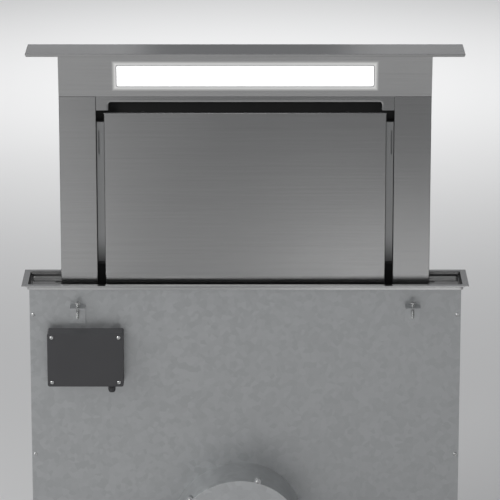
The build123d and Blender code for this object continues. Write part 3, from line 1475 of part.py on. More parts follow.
nodes = {
    "worktop_flange": make_worktop_flange(),
    "flange_gasket": make_flange_gasket(),
    "cap_seal": make_cap_seal(),
    "recess_plates": make_recess_plates(),
    "casing_front": make_casing_front(),
    "casing_back": make_casing_back(),
    "casing_side_left": mirrored(side_right),
    "casing_side_right": side_right,
    "casing_base": make_casing_base(),
    "worktop_clamps": make_worktop_clamps(),
    "clamp_screws": make_clamp_screws(),
    "support_feet": make_support_feet(),
    "casing_screws": make_casing_screws(),
    "guide_rail_left": mirrored(guide_right),
    "guide_rail_right": guide_right,
    "toothed_racks": Compound([rack_right, mirrored(rack_right)]),
    "rack_supports": make_rack_supports(),
    "limit_switches": make_limit_switches(),
    "electronics_box": make_electronics_box(),
    "electronics_cover": make_electronics_cover(),
    "control_board": make_control_board(),
    "cable_gland": make_cable_gland(),
    "blower_housing": make_blower_housing(),
    "blower_cover": make_blower_cover(),
    "blower_motor": make_blower_motor(),
    "motor_shaft": make_motor_shaft(),
    "impeller": make_impeller(),
    "outlet_collar": make_outlet_collar(),
    "damper_flap_front": make_damper_flap(-1),
    "damper_flap_rear": make_damper_flap(1),
    "top_cap": make_top_cap(),
    "light_panel": make_light_panel(),
    "light_trim": make_light_trim(),
    "light_diffuser": make_light_diffuser(),
    "light_box": make_light_box(),
    "led_board": make_led_board(),
    "led_driver": make_led_driver(),
    "column_left": mirrored(column_right),
    "column_right": column_right,
    "tower_back": make_tower_back(),
    "intake_frame": make_intake_frame(),
    "filter_frame_left": mirrored(filter_right),
    "filter_frame_right": filter_right,
    "filter_mesh_left": mirrored(mesh_right),
    "filter_mesh_right": mesh_right,
    "filter_latch_left": mirrored(latch_right),
    "filter_latch_right": latch_right,
    "latch_rivets": make_latch_rivets(),
    "panel_clips": make_panel_clips(),
    "front_panel": make_front_panel(),
    "panel_studs": make_panel_studs(),
    "carriage_plate_left": mirrored(plate_right),
    "carriage_plate_right": plate_right,
    "carriage_beam": make_carriage_beam(),
    "guide_shoes": make_guide_shoes(),
    "shaft_bearings": make_shaft_bearings(),
    "lift_gearmotor": make_lift_gearmotor(),
    "tower_screws": make_tower_screws(),
    "sync_shaft": make_sync_shaft(),
    "drive_pinions": make_drive_pinions(),
}

os.makedirs("parts", exist_ok=True)
for name, shape in nodes.items():
    export_step(shape, f"parts/{name}.step")
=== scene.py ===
import json
import math

import bmesh
import bpy
from mathutils import Matrix, Vector

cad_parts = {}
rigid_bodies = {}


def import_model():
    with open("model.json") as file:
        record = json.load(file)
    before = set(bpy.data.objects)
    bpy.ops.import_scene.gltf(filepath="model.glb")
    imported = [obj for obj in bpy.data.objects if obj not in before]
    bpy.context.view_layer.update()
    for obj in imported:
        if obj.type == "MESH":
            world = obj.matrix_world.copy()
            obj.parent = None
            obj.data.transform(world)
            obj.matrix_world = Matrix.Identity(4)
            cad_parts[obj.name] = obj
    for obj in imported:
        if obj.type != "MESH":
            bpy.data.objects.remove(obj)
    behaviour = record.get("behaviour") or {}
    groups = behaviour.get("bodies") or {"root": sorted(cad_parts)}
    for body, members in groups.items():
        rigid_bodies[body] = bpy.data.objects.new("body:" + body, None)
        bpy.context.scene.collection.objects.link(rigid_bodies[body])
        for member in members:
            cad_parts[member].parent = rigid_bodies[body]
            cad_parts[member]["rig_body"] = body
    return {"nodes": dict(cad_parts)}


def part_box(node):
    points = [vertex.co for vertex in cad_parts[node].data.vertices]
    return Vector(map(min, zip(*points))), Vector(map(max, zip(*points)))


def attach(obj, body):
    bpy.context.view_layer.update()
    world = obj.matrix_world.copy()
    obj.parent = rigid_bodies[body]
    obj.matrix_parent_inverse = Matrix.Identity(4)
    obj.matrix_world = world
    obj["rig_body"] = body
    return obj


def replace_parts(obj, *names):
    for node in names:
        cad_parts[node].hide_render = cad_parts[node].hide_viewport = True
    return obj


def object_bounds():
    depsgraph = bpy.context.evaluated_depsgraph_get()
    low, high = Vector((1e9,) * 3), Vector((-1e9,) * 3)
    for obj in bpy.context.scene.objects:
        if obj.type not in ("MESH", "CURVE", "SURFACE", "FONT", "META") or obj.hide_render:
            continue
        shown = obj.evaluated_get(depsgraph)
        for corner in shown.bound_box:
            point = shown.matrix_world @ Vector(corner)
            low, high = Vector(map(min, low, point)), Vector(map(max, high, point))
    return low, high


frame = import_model()
cad_box = [list(corner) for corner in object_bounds()]

# ---- Room
# A pale matt floor under the feet, an even room and soft lamps, one of them only for the floor behind.
# Weak cards are there to be mirrored by the steel. The camera stands in front, above the cap, and its
# long lens keeps the tower's uprights near parallel.
FLOOR_SIDE = 60.0
FLOOR_GREY = 0.72
FLOOR_DRIFT = 0.02
ROOM_GREY = (0.68, 0.69, 0.71)
ROOM_LEVEL = 0.36
FRAME_PIXELS = 500
SENSOR = 36.0
LENS_PIXELS = 3410.0
EYE = (0.0094, -6.5, 1.853)
EYE_PITCH = 15.425


class Wire:
    """An output of a node. Sums, differences and products of wires add Math nodes."""

    def __init__(self, socket):
        self.socket = socket

    def node(self, kind, settings=None, sockets=None, out=0):
        """Adds a node, sets it, then fills or links its sockets, and gives one of its outputs."""
        tree = self.socket.id_data
        made = tree.nodes.new(kind)
        for key, value in (settings or {}).items():
            setattr(made, key, value)
        for key, value in (sockets or {}).items():
            if isinstance(value, Wire):
                tree.links.new(value.socket, made.inputs[key])
            else:
                made.inputs[key].default_value = value
        return Wire(made.outputs[out])

    def math(self, operation, *values):
        return self.node("ShaderNodeMath", {"operation": operation}, dict(enumerate(values)))

    def __add__(self, other):
        return self.math("ADD", self, other)

    __radd__ = __add__

    def __sub__(self, other):
        return self.math("SUBTRACT", self, other)

    def __rsub__(self, other):
        return self.math("SUBTRACT", other, self)

    def __mul__(self, other):
        return self.math("MULTIPLY", self, other)

    __rmul__ = __mul__

    def __abs__(self):
        return self.math("ABSOLUTE", self)

    def __gt__(self, other):
        return self.math("GREATER_THAN", self, other)

    def __lt__(self, other):
        return self.math("LESS_THAN", self, other)

    def between(self, low, high):
        """Soft step from 0 at the low value to 1 at the high one."""
        sockets = {"Value": self, "From Min": low, "From Max": high}
        return self.node("ShaderNodeMapRange", {"interpolation_type": "SMOOTHSTEP"}, sockets)

    def blend(self, first, second):
        """Mix of two colours, with this wire as the factor."""
        sockets = {"Factor": self, 6: first, 7: second}
        return self.node("ShaderNodeMix", {"data_type": "RGBA"}, sockets, out=2)

    def part(self, index):
        """One number of a colour or a vector."""
        return self.node("ShaderNodeSeparateXYZ", None, {"Vector": self}, out=index)


def surface(name, metallic=0.0, **fixed):
    """New material: its shader node, and a wire with the place on the piece in metres."""
    material = bpy.data.materials.new(name)
    material.use_nodes = True
    tree = material.node_tree
    shader = tree.nodes["Principled BSDF"]
    shader.inputs["Metallic"].default_value = metallic
    for key, value in fixed.items():
        shader.inputs[key.replace("_", " ")].default_value = value
    place = Wire(tree.nodes.new("ShaderNodeTexCoord").outputs["Object"])
    return material, shader, place


def feed(shader, **wires):
    """Links wires to the shader's sockets."""
    for key, wire in wires.items():
        shader.id_data.links.new(wire.socket, shader.inputs[key.replace("_", " ")])


def grey(level, tint=(1.0, 1.0, 1.0)):
    return (level * tint[0], level * tint[1], level * tint[2], 1.0)


def even(place, scale, detail=2.0):
    """Noise that is the same along every axis, in cells per metre."""
    return place.node("ShaderNodeTexNoise", None, {"Vector": place, "Scale": scale, "Detail": detail})


def matt_floor():
    material, shader, place = surface("floor_matt", Roughness=0.85)
    drift = even(place, 0.6)
    feed(shader, Base_Color=drift.blend(grey(FLOOR_GREY - FLOOR_DRIFT), grey(FLOOR_GREY + FLOOR_DRIFT)))
    return material


floor_form = bmesh.new()
bmesh.ops.create_grid(floor_form, x_segments=1, y_segments=1, size=FLOOR_SIDE / 2)
floor_mesh = bpy.data.meshes.new("floor")
floor_form.to_mesh(floor_mesh)
floor_form.free()
floor_mesh.materials.append(matt_floor())
floor = bpy.data.objects.new("floor", floor_mesh)
floor.location.z = cad_box[0][2]
bpy.context.scene.collection.objects.link(floor)

room = bpy.data.worlds.new("room")
room.use_nodes = True
room.node_tree.nodes["Background"].inputs["Color"].default_value = (*ROOM_GREY, 1.0)
room.node_tree.nodes["Background"].inputs["Strength"].default_value = ROOM_LEVEL
bpy.context.scene.world = room


def lamp(name, place, aim, size, watts, spread=180.0):
    """Soft rectangular lamp that faces its aim and isn't seen itself."""
    data = bpy.data.lights.new(name, "AREA")
    data.shape = "RECTANGLE"
    data.size, data.size_y = size
    data.energy = watts
    data.spread = math.radians(spread)
    made = bpy.data.objects.new(name, data)
    made.location = place
    made.rotation_euler = (Vector(aim) - Vector(place)).to_track_quat("-Z", "Y").to_euler()
    made.visible_camera = False
    bpy.context.scene.collection.objects.link(made)


lamp("lamp_left", (-2.6, -1.6, 1.5), (0.0, 0.0, 0.0), (1.6, 1.8), 73.0)
lamp("lamp_right", (2.6, -1.6, 1.3), (0.0, 0.0, 0.0), (1.2, 1.6), 11.0)
lamp("lamp_above", (0.0, 0.8, 3.2), (0.0, 0.0, 0.0), (2.4, 1.6), 24.0)
lamp("lamp_behind", (0.0, 5.0, 4.0), (0.0, 5.0, -0.7), (3.0, 2.0), 48.0, spread=76.0)
lamp("card_left", (-0.92, -2.1, -0.12), (-0.82, 0.0, 0.4), (1.1, 1.1), 0.07, spread=40.0)
lamp("card_low", (0.5, -2.1, -0.66), (0.1, 0.0, 0.05), (0.7, 0.24), 0.045, spread=40.0)
lamp("card_front", (0.0, -3.4, 1.1), (0.0, 0.0, 0.0), (1.2, 0.9), 6.0)
lamp("card_back_left", (-0.82, 2.0, 0.94), (0.0, 0.0, 0.4), (1.2, 0.3), 0.4)
lamp("card_back_right", (0.82, 2.0, 0.94), (0.0, 0.0, 0.4), (1.2, 0.3), 0.4)

camera_data = bpy.data.cameras.new("camera")
camera_data.sensor_width = SENSOR
camera_data.lens = LENS_PIXELS * SENSOR / FRAME_PIXELS
camera = bpy.data.objects.new("camera", camera_data)
camera.location = EYE
camera.rotation_euler = (math.radians(90.0 - EYE_PITCH), 0.0, 0.0)
bpy.context.scene.collection.objects.link(camera)
bpy.context.scene.camera = camera
bpy.context.scene.view_settings.view_transform = "Standard"


# ---- Casing sheets and feet
# Front, back, two sides with returned edges and a tray as the floor, folded from 1 mm galvanised
# steel, on two angle feet. Zinc that sets on the sheet leaves flat crystals, each a little lighter
# or darker, and the sheared edges are broken.
SPANGLE = 95.0               # crystals per metre
ZINC_TINT = (0.97, 0.99, 1.0)
WELD = 2e-6                  # points closer than this are one
FLAT = math.radians(0.4)     # faces that differ by less are one
SHARP = math.radians(35.0)   # edges that turn by more are broken and shaded sharp


def bumped(height, distance):
    return height.node("ShaderNodeBump", None, {"Height": height, "Distance": distance})


def galvanised(name, level, crystals=SPANGLE):
    material, shader, place = surface(name, metallic=1.0)
    sockets = {"Vector": place, "Scale": crystals}
    crystal = place.node("ShaderNodeTexVoronoi", None, sockets, out=1).part(0)
    frost = even(place, 700.0)
    feed(
        shader,
        Base_Color=crystal.blend(grey(level * 0.93, ZINC_TINT), grey(level * 1.06, ZINC_TINT)),
        Roughness=0.36 + 0.1 * crystal + 0.06 * frost,
        Normal=bumped(crystal * 0.4 + frost * 0.3, 0.00004),
    )
    return material


def finished(name, form, material, body, corner=SHARP):
    """Ends a piece's mesh and sets it on its body, in the given material."""
    bmesh.ops.recalc_face_normals(form, faces=form.faces)
    mesh = bpy.data.meshes.new(name)
    form.to_mesh(mesh)
    form.free()
    mesh.materials.append(material)
    mesh.shade_smooth()
    mesh.set_sharp_from_angle(angle=corner)
    piece = bpy.data.objects.new(name, mesh)
    bpy.context.scene.collection.objects.link(piece)
    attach(piece, body)
    return piece


def eased(node, material, edge=0.0003):
    """The node's own form with its cut edges broken, on the same body."""
    source = frame["nodes"][node]
    form = bmesh.new()
    form.from_mesh(source.data)
    bmesh.ops.remove_doubles(form, verts=form.verts, dist=WELD)
    bmesh.ops.dissolve_limit(form, angle_limit=FLAT, verts=form.verts, edges=form.edges)
    piece = finished(node + "_eased", form, material, source["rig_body"])
    bevel = piece.modifiers.new("broken edges", "BEVEL")
    bevel.limit_method = "ANGLE"
    bevel.angle_limit = SHARP
    bevel.width = edge
    bevel.segments = 2
    bevel.use_clamp_overlap = True
    piece.modifiers.new("flat faces", "WEIGHTED_NORMAL").weight = 100
    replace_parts(piece, node)
    return piece


sheet_zinc = galvanised("galvanised_sheet", 0.48)
for name in ("casing_front", "casing_back", "casing_side_left", "casing_side_right", "casing_base"):
    eased(name, sheet_zinc, edge=0.0002)
eased("support_feet", galvanised("galvanised_angle", 0.52), edge=0.0004)


# ---- Casing screws
# Pan-head sheet screws in bright zinc: six along the seams of the front sheet, six along the back's,
# two in each foot and five round the blower's cover. Each has a cross driven into its domed head.
HEAD_RADIUS = 0.0038
HEAD_HEIGHT = 0.0024
HEAD_EDGE = 0.0008
DOME_TURNS = (0.0, 0.35, 0.7, 1.0)    # round the dome's edge, in radians
SHANK_RADIUS = 0.002
SHANK_LENGTH = 0.008
SHANK_TIP = 0.0012
SHANK_POINT = 0.6            # end of the tip, as a share of the shank's radius
CROSS_ARM = 0.0019
CROSS_HALF_WIDTH = 0.00042
CROSS_DEPTH = 0.0013
CROSS_LAND = 0.0001
CROSS_TAPER = 0.82
CROSS_CORNER = math.atan(CROSS_HALF_WIDTH / CROSS_ARM)
CROSS_ANGLES = [
    quarter * math.pi / 2 + turn
    for quarter in range(4)
    for turn in (0.0, CROSS_CORNER, 0.5, math.pi / 4, 1.07, math.pi / 2 - CROSS_CORNER)
]


def spun(form, rings, place, direction, angles, closed=False):
    """Skin of rings round an axis. A ring is a radius, or a function of the angle, and a height."""
    axis = Vector(direction).normalized()
    across = axis.orthogonal().normalized()
    up = axis.cross(across)
    loops = []
    for radius, height in rings:
        loop = []
        for angle in angles:
            reach = radius(angle) if callable(radius) else radius
            spoke = across * math.cos(angle) + up * math.sin(angle)
            loop.append(form.verts.new(Vector(place) + axis * height + spoke * reach))
        loops.append(loop)
    pairs = list(zip(loops, loops[1:] + loops[:1]))
    for lower, upper in pairs if closed else pairs[:-1]:
        for index, start in enumerate(lower):
            after = (index + 1) % len(lower)
            form.faces.new((start, lower[after], upper[after], upper[index]))
    if not closed:
        form.faces.new(reversed(loops[0]))
        form.faces.new(loops[-1])


def round_angles(count):
    return [2 * math.pi * index / count for index in range(count)]


def cross(scale):
    """Radius of the driven cross at an angle."""
    def reach(angle):
        turn = angle % (math.pi / 2)
        turn = min(turn, math.pi / 2 - turn)
        end = CROSS_ARM / math.cos(turn)
        side = CROSS_HALF_WIDTH / max(math.sin(turn), 1e-6)
        return scale * min(end, side)
    return reach


def pan_screw(form, place, direction):
    """Screw whose head sits on the place; the direction is its shank's."""
    dome = [(HEAD_RADIUS * math.cos(turn), -HEAD_EDGE - (HEAD_HEIGHT - HEAD_EDGE) * math.sin(turn))
            for turn in DOME_TURNS]
    top = dome[-1][1] - CROSS_LAND
    spun(form, [
        (SHANK_RADIUS * SHANK_POINT, SHANK_LENGTH),
        (SHANK_RADIUS, SHANK_LENGTH - SHANK_TIP),
        (SHANK_RADIUS, 0.0),
        (HEAD_RADIUS, 0.0),
        *dome,
        (cross(1.0), top),
        (cross(CROSS_TAPER), top + CROSS_DEPTH),
    ], place, direction, CROSS_ANGLES)


def islands(node):
    """Low and high corner, and points, of each separate solid of a node."""
    form = bmesh.new()
    form.from_mesh(frame["nodes"][node].data)
    bmesh.ops.remove_doubles(form, verts=form.verts, dist=WELD)
    left = set(form.verts)
    found = []
    while left:
        edge = [left.pop()]
        points = []
        while edge:
            vert = edge.pop()
            points.append(vert.co.copy())
            for link in vert.link_edges:
                far = link.other_vert(vert)
                if far in left:
                    left.discard(far)
                    edge.append(far)
        low = Vector([min(point[axis] for point in points) for axis in range(3)])
        high = Vector([max(point[axis] for point in points) for axis in range(3)])
        found.append((low, high, points))
    form.free()
    return sorted(found, key=lambda solid: tuple(solid[0]))


def screw_places(node):
    """Where each screw's head meets its sheet, and the way its shank points."""
    places = []
    for low, high, points in islands(node):
        size = high - low
        middle = (low + high) / 2
        axis = max(range(3), key=lambda index: size[index])
        way = Vector((0.0, 0.0, 0.0))
        way[axis] = 1.0
        wide = []
        for point in points:
            out = point - middle
            if (out - way * out[axis]).length > (HEAD_RADIUS + SHANK_RADIUS) / 2:
                wide.append(point)
        if sum(point[axis] for point in wide) / len(wide) > middle[axis]:
            way = -way
        reach = size[axis] / 2 - HEAD_HEIGHT
        places.append((middle - way * reach, way))
    return places


def bright_zinc(name, level=0.6):
    material, shader, place = surface(name, metallic=1.0)
    wear = even(place, 260.0, 3.0)
    feed(
        shader,
        Base_Color=wear.blend(grey(level * 0.92, (1.0, 1.0, 0.97)), grey(level * 1.06, (0.97, 0.99, 1.0))),
        Roughness=0.2 + 0.12 * wear,
        Normal=bumped(wear, 0.00002),
    )
    return material


screw_zinc = bright_zinc("screw_zinc")


def driven_screws(name, node, body):
    form = bmesh.new()
    for place, way in screw_places(node):
        pan_screw(form, place, way)
    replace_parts(finished(name, form, screw_zinc, body), node)


driven_screws("casing_pan_screws", "casing_screws", "casing")


# ---- Guide rails, racks and their supports, end switches
# The tower runs in two galvanised channels. Beside each stands a moulded rack on a folded support,
# and the right support carries a switch at each end of the travel.
def clothe(material, *nodes):
    """Gives a material to nodes that keep their form."""
    for node in nodes:
        held = frame["nodes"][node].data.materials
        held.clear()
        held.append(material)


def moulded(name, colour, roughness, grain=1400.0, relief=0.00002):
    """Moulded plastic with a fine sparked grain and a little drift of its colour."""
    material, shader, place = surface(name)
    drift = even(place, 18.0)
    skin = even(place, grain, 1.0)
    darker = tuple(value * 0.9 for value in colour)
    lighter = tuple(min(value * 1.1, 1.0) for value in colour)
    feed(
        shader,
        Base_Color=drift.blend((*darker, 1.0), (*lighter, 1.0)),
        Roughness=roughness - 0.05 + 0.1 * skin,
        Normal=bumped(skin, relief),
    )
    return material


rail_zinc = galvanised("galvanised_rail", 0.5, crystals=160.0)
for name in ("guide_rail_left", "guide_rail_right", "rack_supports"):
    eased(name, rail_zinc)
white_acetal = moulded("white_acetal", (0.78, 0.775, 0.74), 0.38)
clothe(white_acetal, "toothed_racks")
switch_black = moulded("switch_black", (0.035, 0.035, 0.038), 0.42)
eased("limit_switches", switch_black, edge=0.0002)


# ---- Blower housing
# A scroll and its flat cover, pressed from galvanised sheet, stand on the casing's front round its
# air inlet. Five lugs take the screws.
blower_zinc = galvanised("galvanised_scroll", 0.54, crystals=80.0)
eased("blower_housing", blower_zinc)
eased("blower_cover", blower_zinc)


# ---- Fan motor, shaft and impeller
# The motor's black can is screwed to the cover by its flange. Its end cap has spokes with cooling
# slots between them, and the copper windings show through. The wheel is moulded in black plastic.
MOTOR_CAN = 0.048
MOTOR_EDGE = 0.006
MOTOR_SEAM = 0.62            # along the can, as a share of its length
SEAM_DEPTH = 0.0006
SEAM_SLOPE = 0.0004
SEAM_FLOOR = 0.001
SHAFT_HOLE = 0.0043
CAN_SIDES = 48
CAP_SPOKES = 10
SPOKE_HALF_WIDTH = 0.0022
SPOKE_LAP = 0.001            # into the boss and the rim
SPOKE_SINK = 0.0001          # below the cap's face
CAP_BOSS = 0.013
BOSS_HOLE = 0.0035
BOSS_DEPTH = 0.0055
BOSS_EDGE = 0.0006
CAP_SLOT_OUTER = 0.037
CAP_SLOT_DEPTH = 0.012
CAP_SHEET = 0.0015
CAP_FLANGE = 0.003
FLANGE_EDGE = 0.0005
FLANGE_FILLET = 0.001
FLANGE_SCREW_TURNS = (0.785, 2.356, 3.927, 5.498)
FLANGE_SCREW_INSET = 0.005
COIL_INNER = 0.0185
COIL_OUTER = 0.0345
COIL_FACE = 0.0045           # depths of its points below the cap's face
COIL_SHOULDER = 0.007
COIL_BACK = 0.0122
COIL_SHARP = math.radians(60.0)


def slab(form, low, high, turn=None):
    """Box between two corners, turned by a matrix if one is given."""
    spans = list(zip(low, high))
    corners = [Vector((x, y, z)) for x in spans[0] for y in spans[1] for z in spans[2]]
    verts = [form.verts.new(turn @ corner if turn else corner) for corner in corners]
    for face in ((0, 1, 3, 2), (4, 6, 7, 5), (0, 4, 5, 1), (2, 3, 7, 6), (0, 2, 6, 4), (1, 5, 7, 3)):
        form.faces.new([verts[index] for index in face])


def satin_black(name, level=0.028):
    material, shader, place = surface(name)
    peel = even(place, 420.0)
    scuff = even(place, 30.0, 4.0).between(0.6, 0.8)
    feed(
        shader,
        Base_Color=scuff.blend(grey(level), grey(level * 1.5)),
        Roughness=0.34 + 0.08 * peel + 0.08 * scuff,
        Normal=bumped(peel, 0.00003),
    )
    return material


def copper_wire():
    material, shader, place = surface("lacquered_copper", metallic=1.0)
    turns = place.node("ShaderNodeTexWave", {"wave_type": "RINGS", "rings_direction": "Y"},
                       {"Vector": place, "Scale": 420.0, "Distortion": 0.4})
    feed(
        shader,
        Base_Color=turns.blend((0.5, 0.19, 0.08, 1.0), (0.75, 0.33, 0.16, 1.0)),
        Roughness=0.3 + 0.1 * turns,
        Normal=bumped(turns, 0.0002),
    )
    return material


motor_low, motor_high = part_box("blower_motor")
motor_end = motor_low[1]
motor_seat = motor_high[1]
motor_axis = ((motor_low[0] + motor_high[0]) / 2, motor_seat, (motor_low[2] + motor_high[2]) / 2)
motor_length = motor_seat - motor_end
flange_radius = (motor_high[0] - motor_low[0]) / 2
seam = motor_length * MOTOR_SEAM
slot_floor = motor_length - CAP_SLOT_DEPTH
can = bmesh.new()
full_turn = round_angles(CAN_SIDES)
spun(can, [
    (SHAFT_HOLE, 0.0),
    (flange_radius - FLANGE_EDGE, 0.0),
    (flange_radius, FLANGE_EDGE),
    (flange_radius, CAP_FLANGE - FLANGE_EDGE),
    (flange_radius - FLANGE_EDGE, CAP_FLANGE),
    (MOTOR_CAN + FLANGE_FILLET, CAP_FLANGE),
    (MOTOR_CAN, CAP_FLANGE + FLANGE_FILLET),
    (MOTOR_CAN, seam),
    (MOTOR_CAN - SEAM_DEPTH, seam + SEAM_SLOPE),
    (MOTOR_CAN - SEAM_DEPTH, seam + SEAM_SLOPE + SEAM_FLOOR),
    (MOTOR_CAN, seam + SEAM_SLOPE * 2 + SEAM_FLOOR),
    (MOTOR_CAN, motor_length - MOTOR_EDGE),
    (MOTOR_CAN - MOTOR_EDGE * 0.45, motor_length - MOTOR_EDGE * 0.35),
    (MOTOR_CAN - MOTOR_EDGE, motor_length),
    (CAP_SLOT_OUTER, motor_length),
    (CAP_SLOT_OUTER, slot_floor),
    (SHAFT_HOLE, slot_floor),
], motor_axis, (0, -1, 0), full_turn, closed=True)
spun(can, [
    (BOSS_HOLE, motor_length - BOSS_DEPTH),
    (CAP_BOSS, motor_length - BOSS_DEPTH),
    (CAP_BOSS, motor_length - BOSS_EDGE),
    (CAP_BOSS - BOSS_EDGE, motor_length),
    (BOSS_HOLE, motor_length),
], motor_axis, (0, -1, 0), full_turn, closed=True)
for spoke in range(CAP_SPOKES):
    swing = Matrix.Translation(motor_axis) @ Matrix.Rotation(2 * math.pi * spoke / CAP_SPOKES, 4, "Y")
    slab(can, (CAP_BOSS - SPOKE_LAP, -motor_length + SPOKE_SINK, -SPOKE_HALF_WIDTH),
         (CAP_SLOT_OUTER + SPOKE_LAP, -motor_length + CAP_SHEET, SPOKE_HALF_WIDTH), swing)
motor_black = satin_black("motor_enamel")
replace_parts(finished("fan_motor_can", can, motor_black, "casing"), "blower_motor")

coil = bmesh.new()
spun(coil, [
    (COIL_INNER + 0.0005, motor_length - COIL_BACK),
    (COIL_OUTER - 0.0005, motor_length - COIL_BACK),
    (COIL_OUTER, motor_length - COIL_SHOULDER),
    (COIL_OUTER - 0.0035, motor_length - COIL_FACE),
    (COIL_INNER + 0.0045, motor_length - COIL_FACE),
    (COIL_INNER, motor_length - COIL_SHOULDER),
], motor_axis, (0, -1, 0), full_turn, closed=True)
finished("fan_motor_windings", coil, copper_wire(), "casing", corner=COIL_SHARP)

flange_screws = bmesh.new()
screw_circle = flange_radius - FLANGE_SCREW_INSET
for turn in FLANGE_SCREW_TURNS:
    x = math.cos(turn) * screw_circle
    z = motor_axis[2] + math.sin(turn) * screw_circle
    pan_screw(flange_screws, (x, motor_seat - CAP_FLANGE, z), (0, 1, 0))
finished("fan_motor_screws", flange_screws, screw_zinc, "casing")

clothe(bright_zinc("ground_shaft", 0.55), "motor_shaft")
wheel_black = moulded("wheel_black", (0.03, 0.03, 0.033), 0.45)
clothe(wheel_black, "impeller")


# ---- Outlet and its flaps
# A moulded collar turns the blower's square mouth into a round spigot for the duct. Two half discs
# on thin rods close it when the fan stops.
duct_black = moulded("duct_black", (0.033, 0.034, 0.036), 0.5, grain=900.0)
eased("outlet_collar", duct_black, edge=0.0004)
clothe(moulded("flap_black", (0.05, 0.05, 0.053), 0.42), "damper_flap_front", "damper_flap_rear")


# ---- Electronics box
# A black box with a screwed cover on the casing's front. The control board stands inside on four
# posts, with terminals, a transformer and three relays. A moulded gland is screwed into its foot.
COVER_SCREW_INSET = 0.009
BOARD_FACE = 0.0067          # posts and board, and 0.1 mm more
TERMINAL_ROW = 0.016
TRANSFORMER_WIDTH = 0.06
TRANSFORMER_FOOT = 0.02
GLAND_SIDES = 72
GLAND_BORE = 0.0035
HEX_APOTHEM = 0.866          # as a share of the hexagon's corner radius
NUT_APOTHEM = 0.0052
NUT_HEIGHT = 0.0035
GLAND_THREAD = 0.0058
COLLAR_HEIGHT = 0.004
NECK_RADIUS = 0.0062
GRIP_START = 0.005
GRIP_END = 0.0115
GRIP_RADIUS = 0.0074
GRIP_DRAFT = 0.0001
GRIP_RIBS = 12
GRIP_DEPTH = 0.0005
DOME_RADIUS = 0.0064
DOME_START = 0.0145
MOUTH_RADIUS = 0.0052
box_black = moulded("box_black", (0.045, 0.045, 0.048), 0.46)
eased("electronics_box", box_black, edge=0.0004)
eased("electronics_cover", box_black, edge=0.0003)
cover_low, cover_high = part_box("electronics_cover")
cover_screws = bmesh.new()
for x in (cover_low[0] + COVER_SCREW_INSET, cover_high[0] - COVER_SCREW_INSET):
    for z in (cover_low[2] + COVER_SCREW_INSET, cover_high[2] - COVER_SCREW_INSET):
        pan_screw(cover_screws, (x, cover_low[1], z), (0, 1, 0))
finished("cover_screws", cover_screws, screw_zinc, "casing")


def control_board():
    """White board; dark relays, a transformer bound in yellow tape and green terminals stand on it."""
    material, shader, place = surface("control_board_parts")
    low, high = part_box("control_board")
    x, z = place.part(0), place.part(2)
    raised = place.part(1) < high[1] - BOARD_FACE
    terminal = raised * (z < low[2] + TERMINAL_ROW)
    transformer = raised * (x < low[0] + TRANSFORMER_WIDTH) * (z > low[2] + TRANSFORMER_FOOT)
    track = place.node("ShaderNodeTexWave", {"bands_direction": "DIAGONAL"},
                       {"Vector": place, "Scale": 90.0, "Distortion": 6.0}).between(0.55, 0.6)
    board = track.blend((0.72, 0.74, 0.71, 1.0), (0.62, 0.66, 0.6, 1.0))
    relays = raised.blend(board, (0.02, 0.022, 0.03, 1.0))
    wound = transformer.blend(relays, (0.62, 0.5, 0.06, 1.0))
    feed(
        shader,
        Base_Color=terminal.blend(wound, (0.05, 0.27, 0.1, 1.0)),
        Roughness=0.4 + 0.1 * even(place, 300.0),
    )
    return material


clothe(control_board(), "control_board")


def hexed(apothem):
    """Radius of a hexagon at an angle."""
    def reach(angle):
        turn = (angle + math.pi / 6) % (math.pi / 3) - math.pi / 6
        return apothem / math.cos(turn)
    return reach


def ribbed(radius, ribs, depth):
    """Radius of a gripped nut at an angle."""
    def reach(angle):
        return radius - depth * (0.5 + 0.5 * math.cos(ribs * angle))
    return reach


gland_low, gland_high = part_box("cable_gland")
gland_middle = ((gland_low[0] + gland_high[0]) / 2, (gland_low[1] + gland_high[1]) / 2, cover_low[2])
gland_radius = (gland_high[0] - gland_low[0]) / 2
gland_foot = cover_low[2] - gland_low[2]
gland_head = cover_low[2] - gland_high[2]
collar = hexed(gland_radius * HEX_APOTHEM)
gland = bmesh.new()
spun(gland, [
    (GLAND_BORE, gland_head),
    (hexed(NUT_APOTHEM), gland_head),
    (hexed(NUT_APOTHEM), gland_head + NUT_HEIGHT),
    (GLAND_THREAD, gland_head + NUT_HEIGHT),
    (GLAND_THREAD, 0.0),
    (collar, 0.0),
    (collar, COLLAR_HEIGHT),
    (NECK_RADIUS, COLLAR_HEIGHT + 0.0002),
    (NECK_RADIUS, GRIP_START),
    (ribbed(GRIP_RADIUS, GRIP_RIBS, GRIP_DEPTH), GRIP_START),
    (ribbed(GRIP_RADIUS - GRIP_DRAFT, GRIP_RIBS, GRIP_DEPTH), GRIP_END),
    (DOME_RADIUS, DOME_START),
    (MOUTH_RADIUS, gland_foot),
    (GLAND_BORE, gland_foot),
], gland_middle, (0, 0, -1), round_angles(GLAND_SIDES), closed=True)
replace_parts(finished("gland_body", gland, switch_black, "casing"), "cable_gland")


# ---- Flange, gasket, seal and recess plates
# The flange is 1.5 mm stainless sheet, brushed along its length, folded and welded, with a step
# inside that the lowered cap's seal lies on. Its rim is mitred and ground at the corners. Two plates
# close the well beside the tower.
STEEL_LEVEL = 0.4
RIM_CORNER = 0.0165
MITRE_REACH = 0.002          # arc points this near the diagonal go to the corner
ARC_TOLERANCE = 0.0001


def stretched(place, scale, detail=2.0, roughness=0.5):
    """Noise with its own scale along each axis, in cells per metre."""
    way = place.node("ShaderNodeMapping", {"vector_type": "POINT"}, {"Vector": place, "Scale": scale})
    sockets = {"Vector": way, "Scale": 1.0, "Detail": detail, "Roughness": roughness}
    return way.node("ShaderNodeTexNoise", None, sockets)


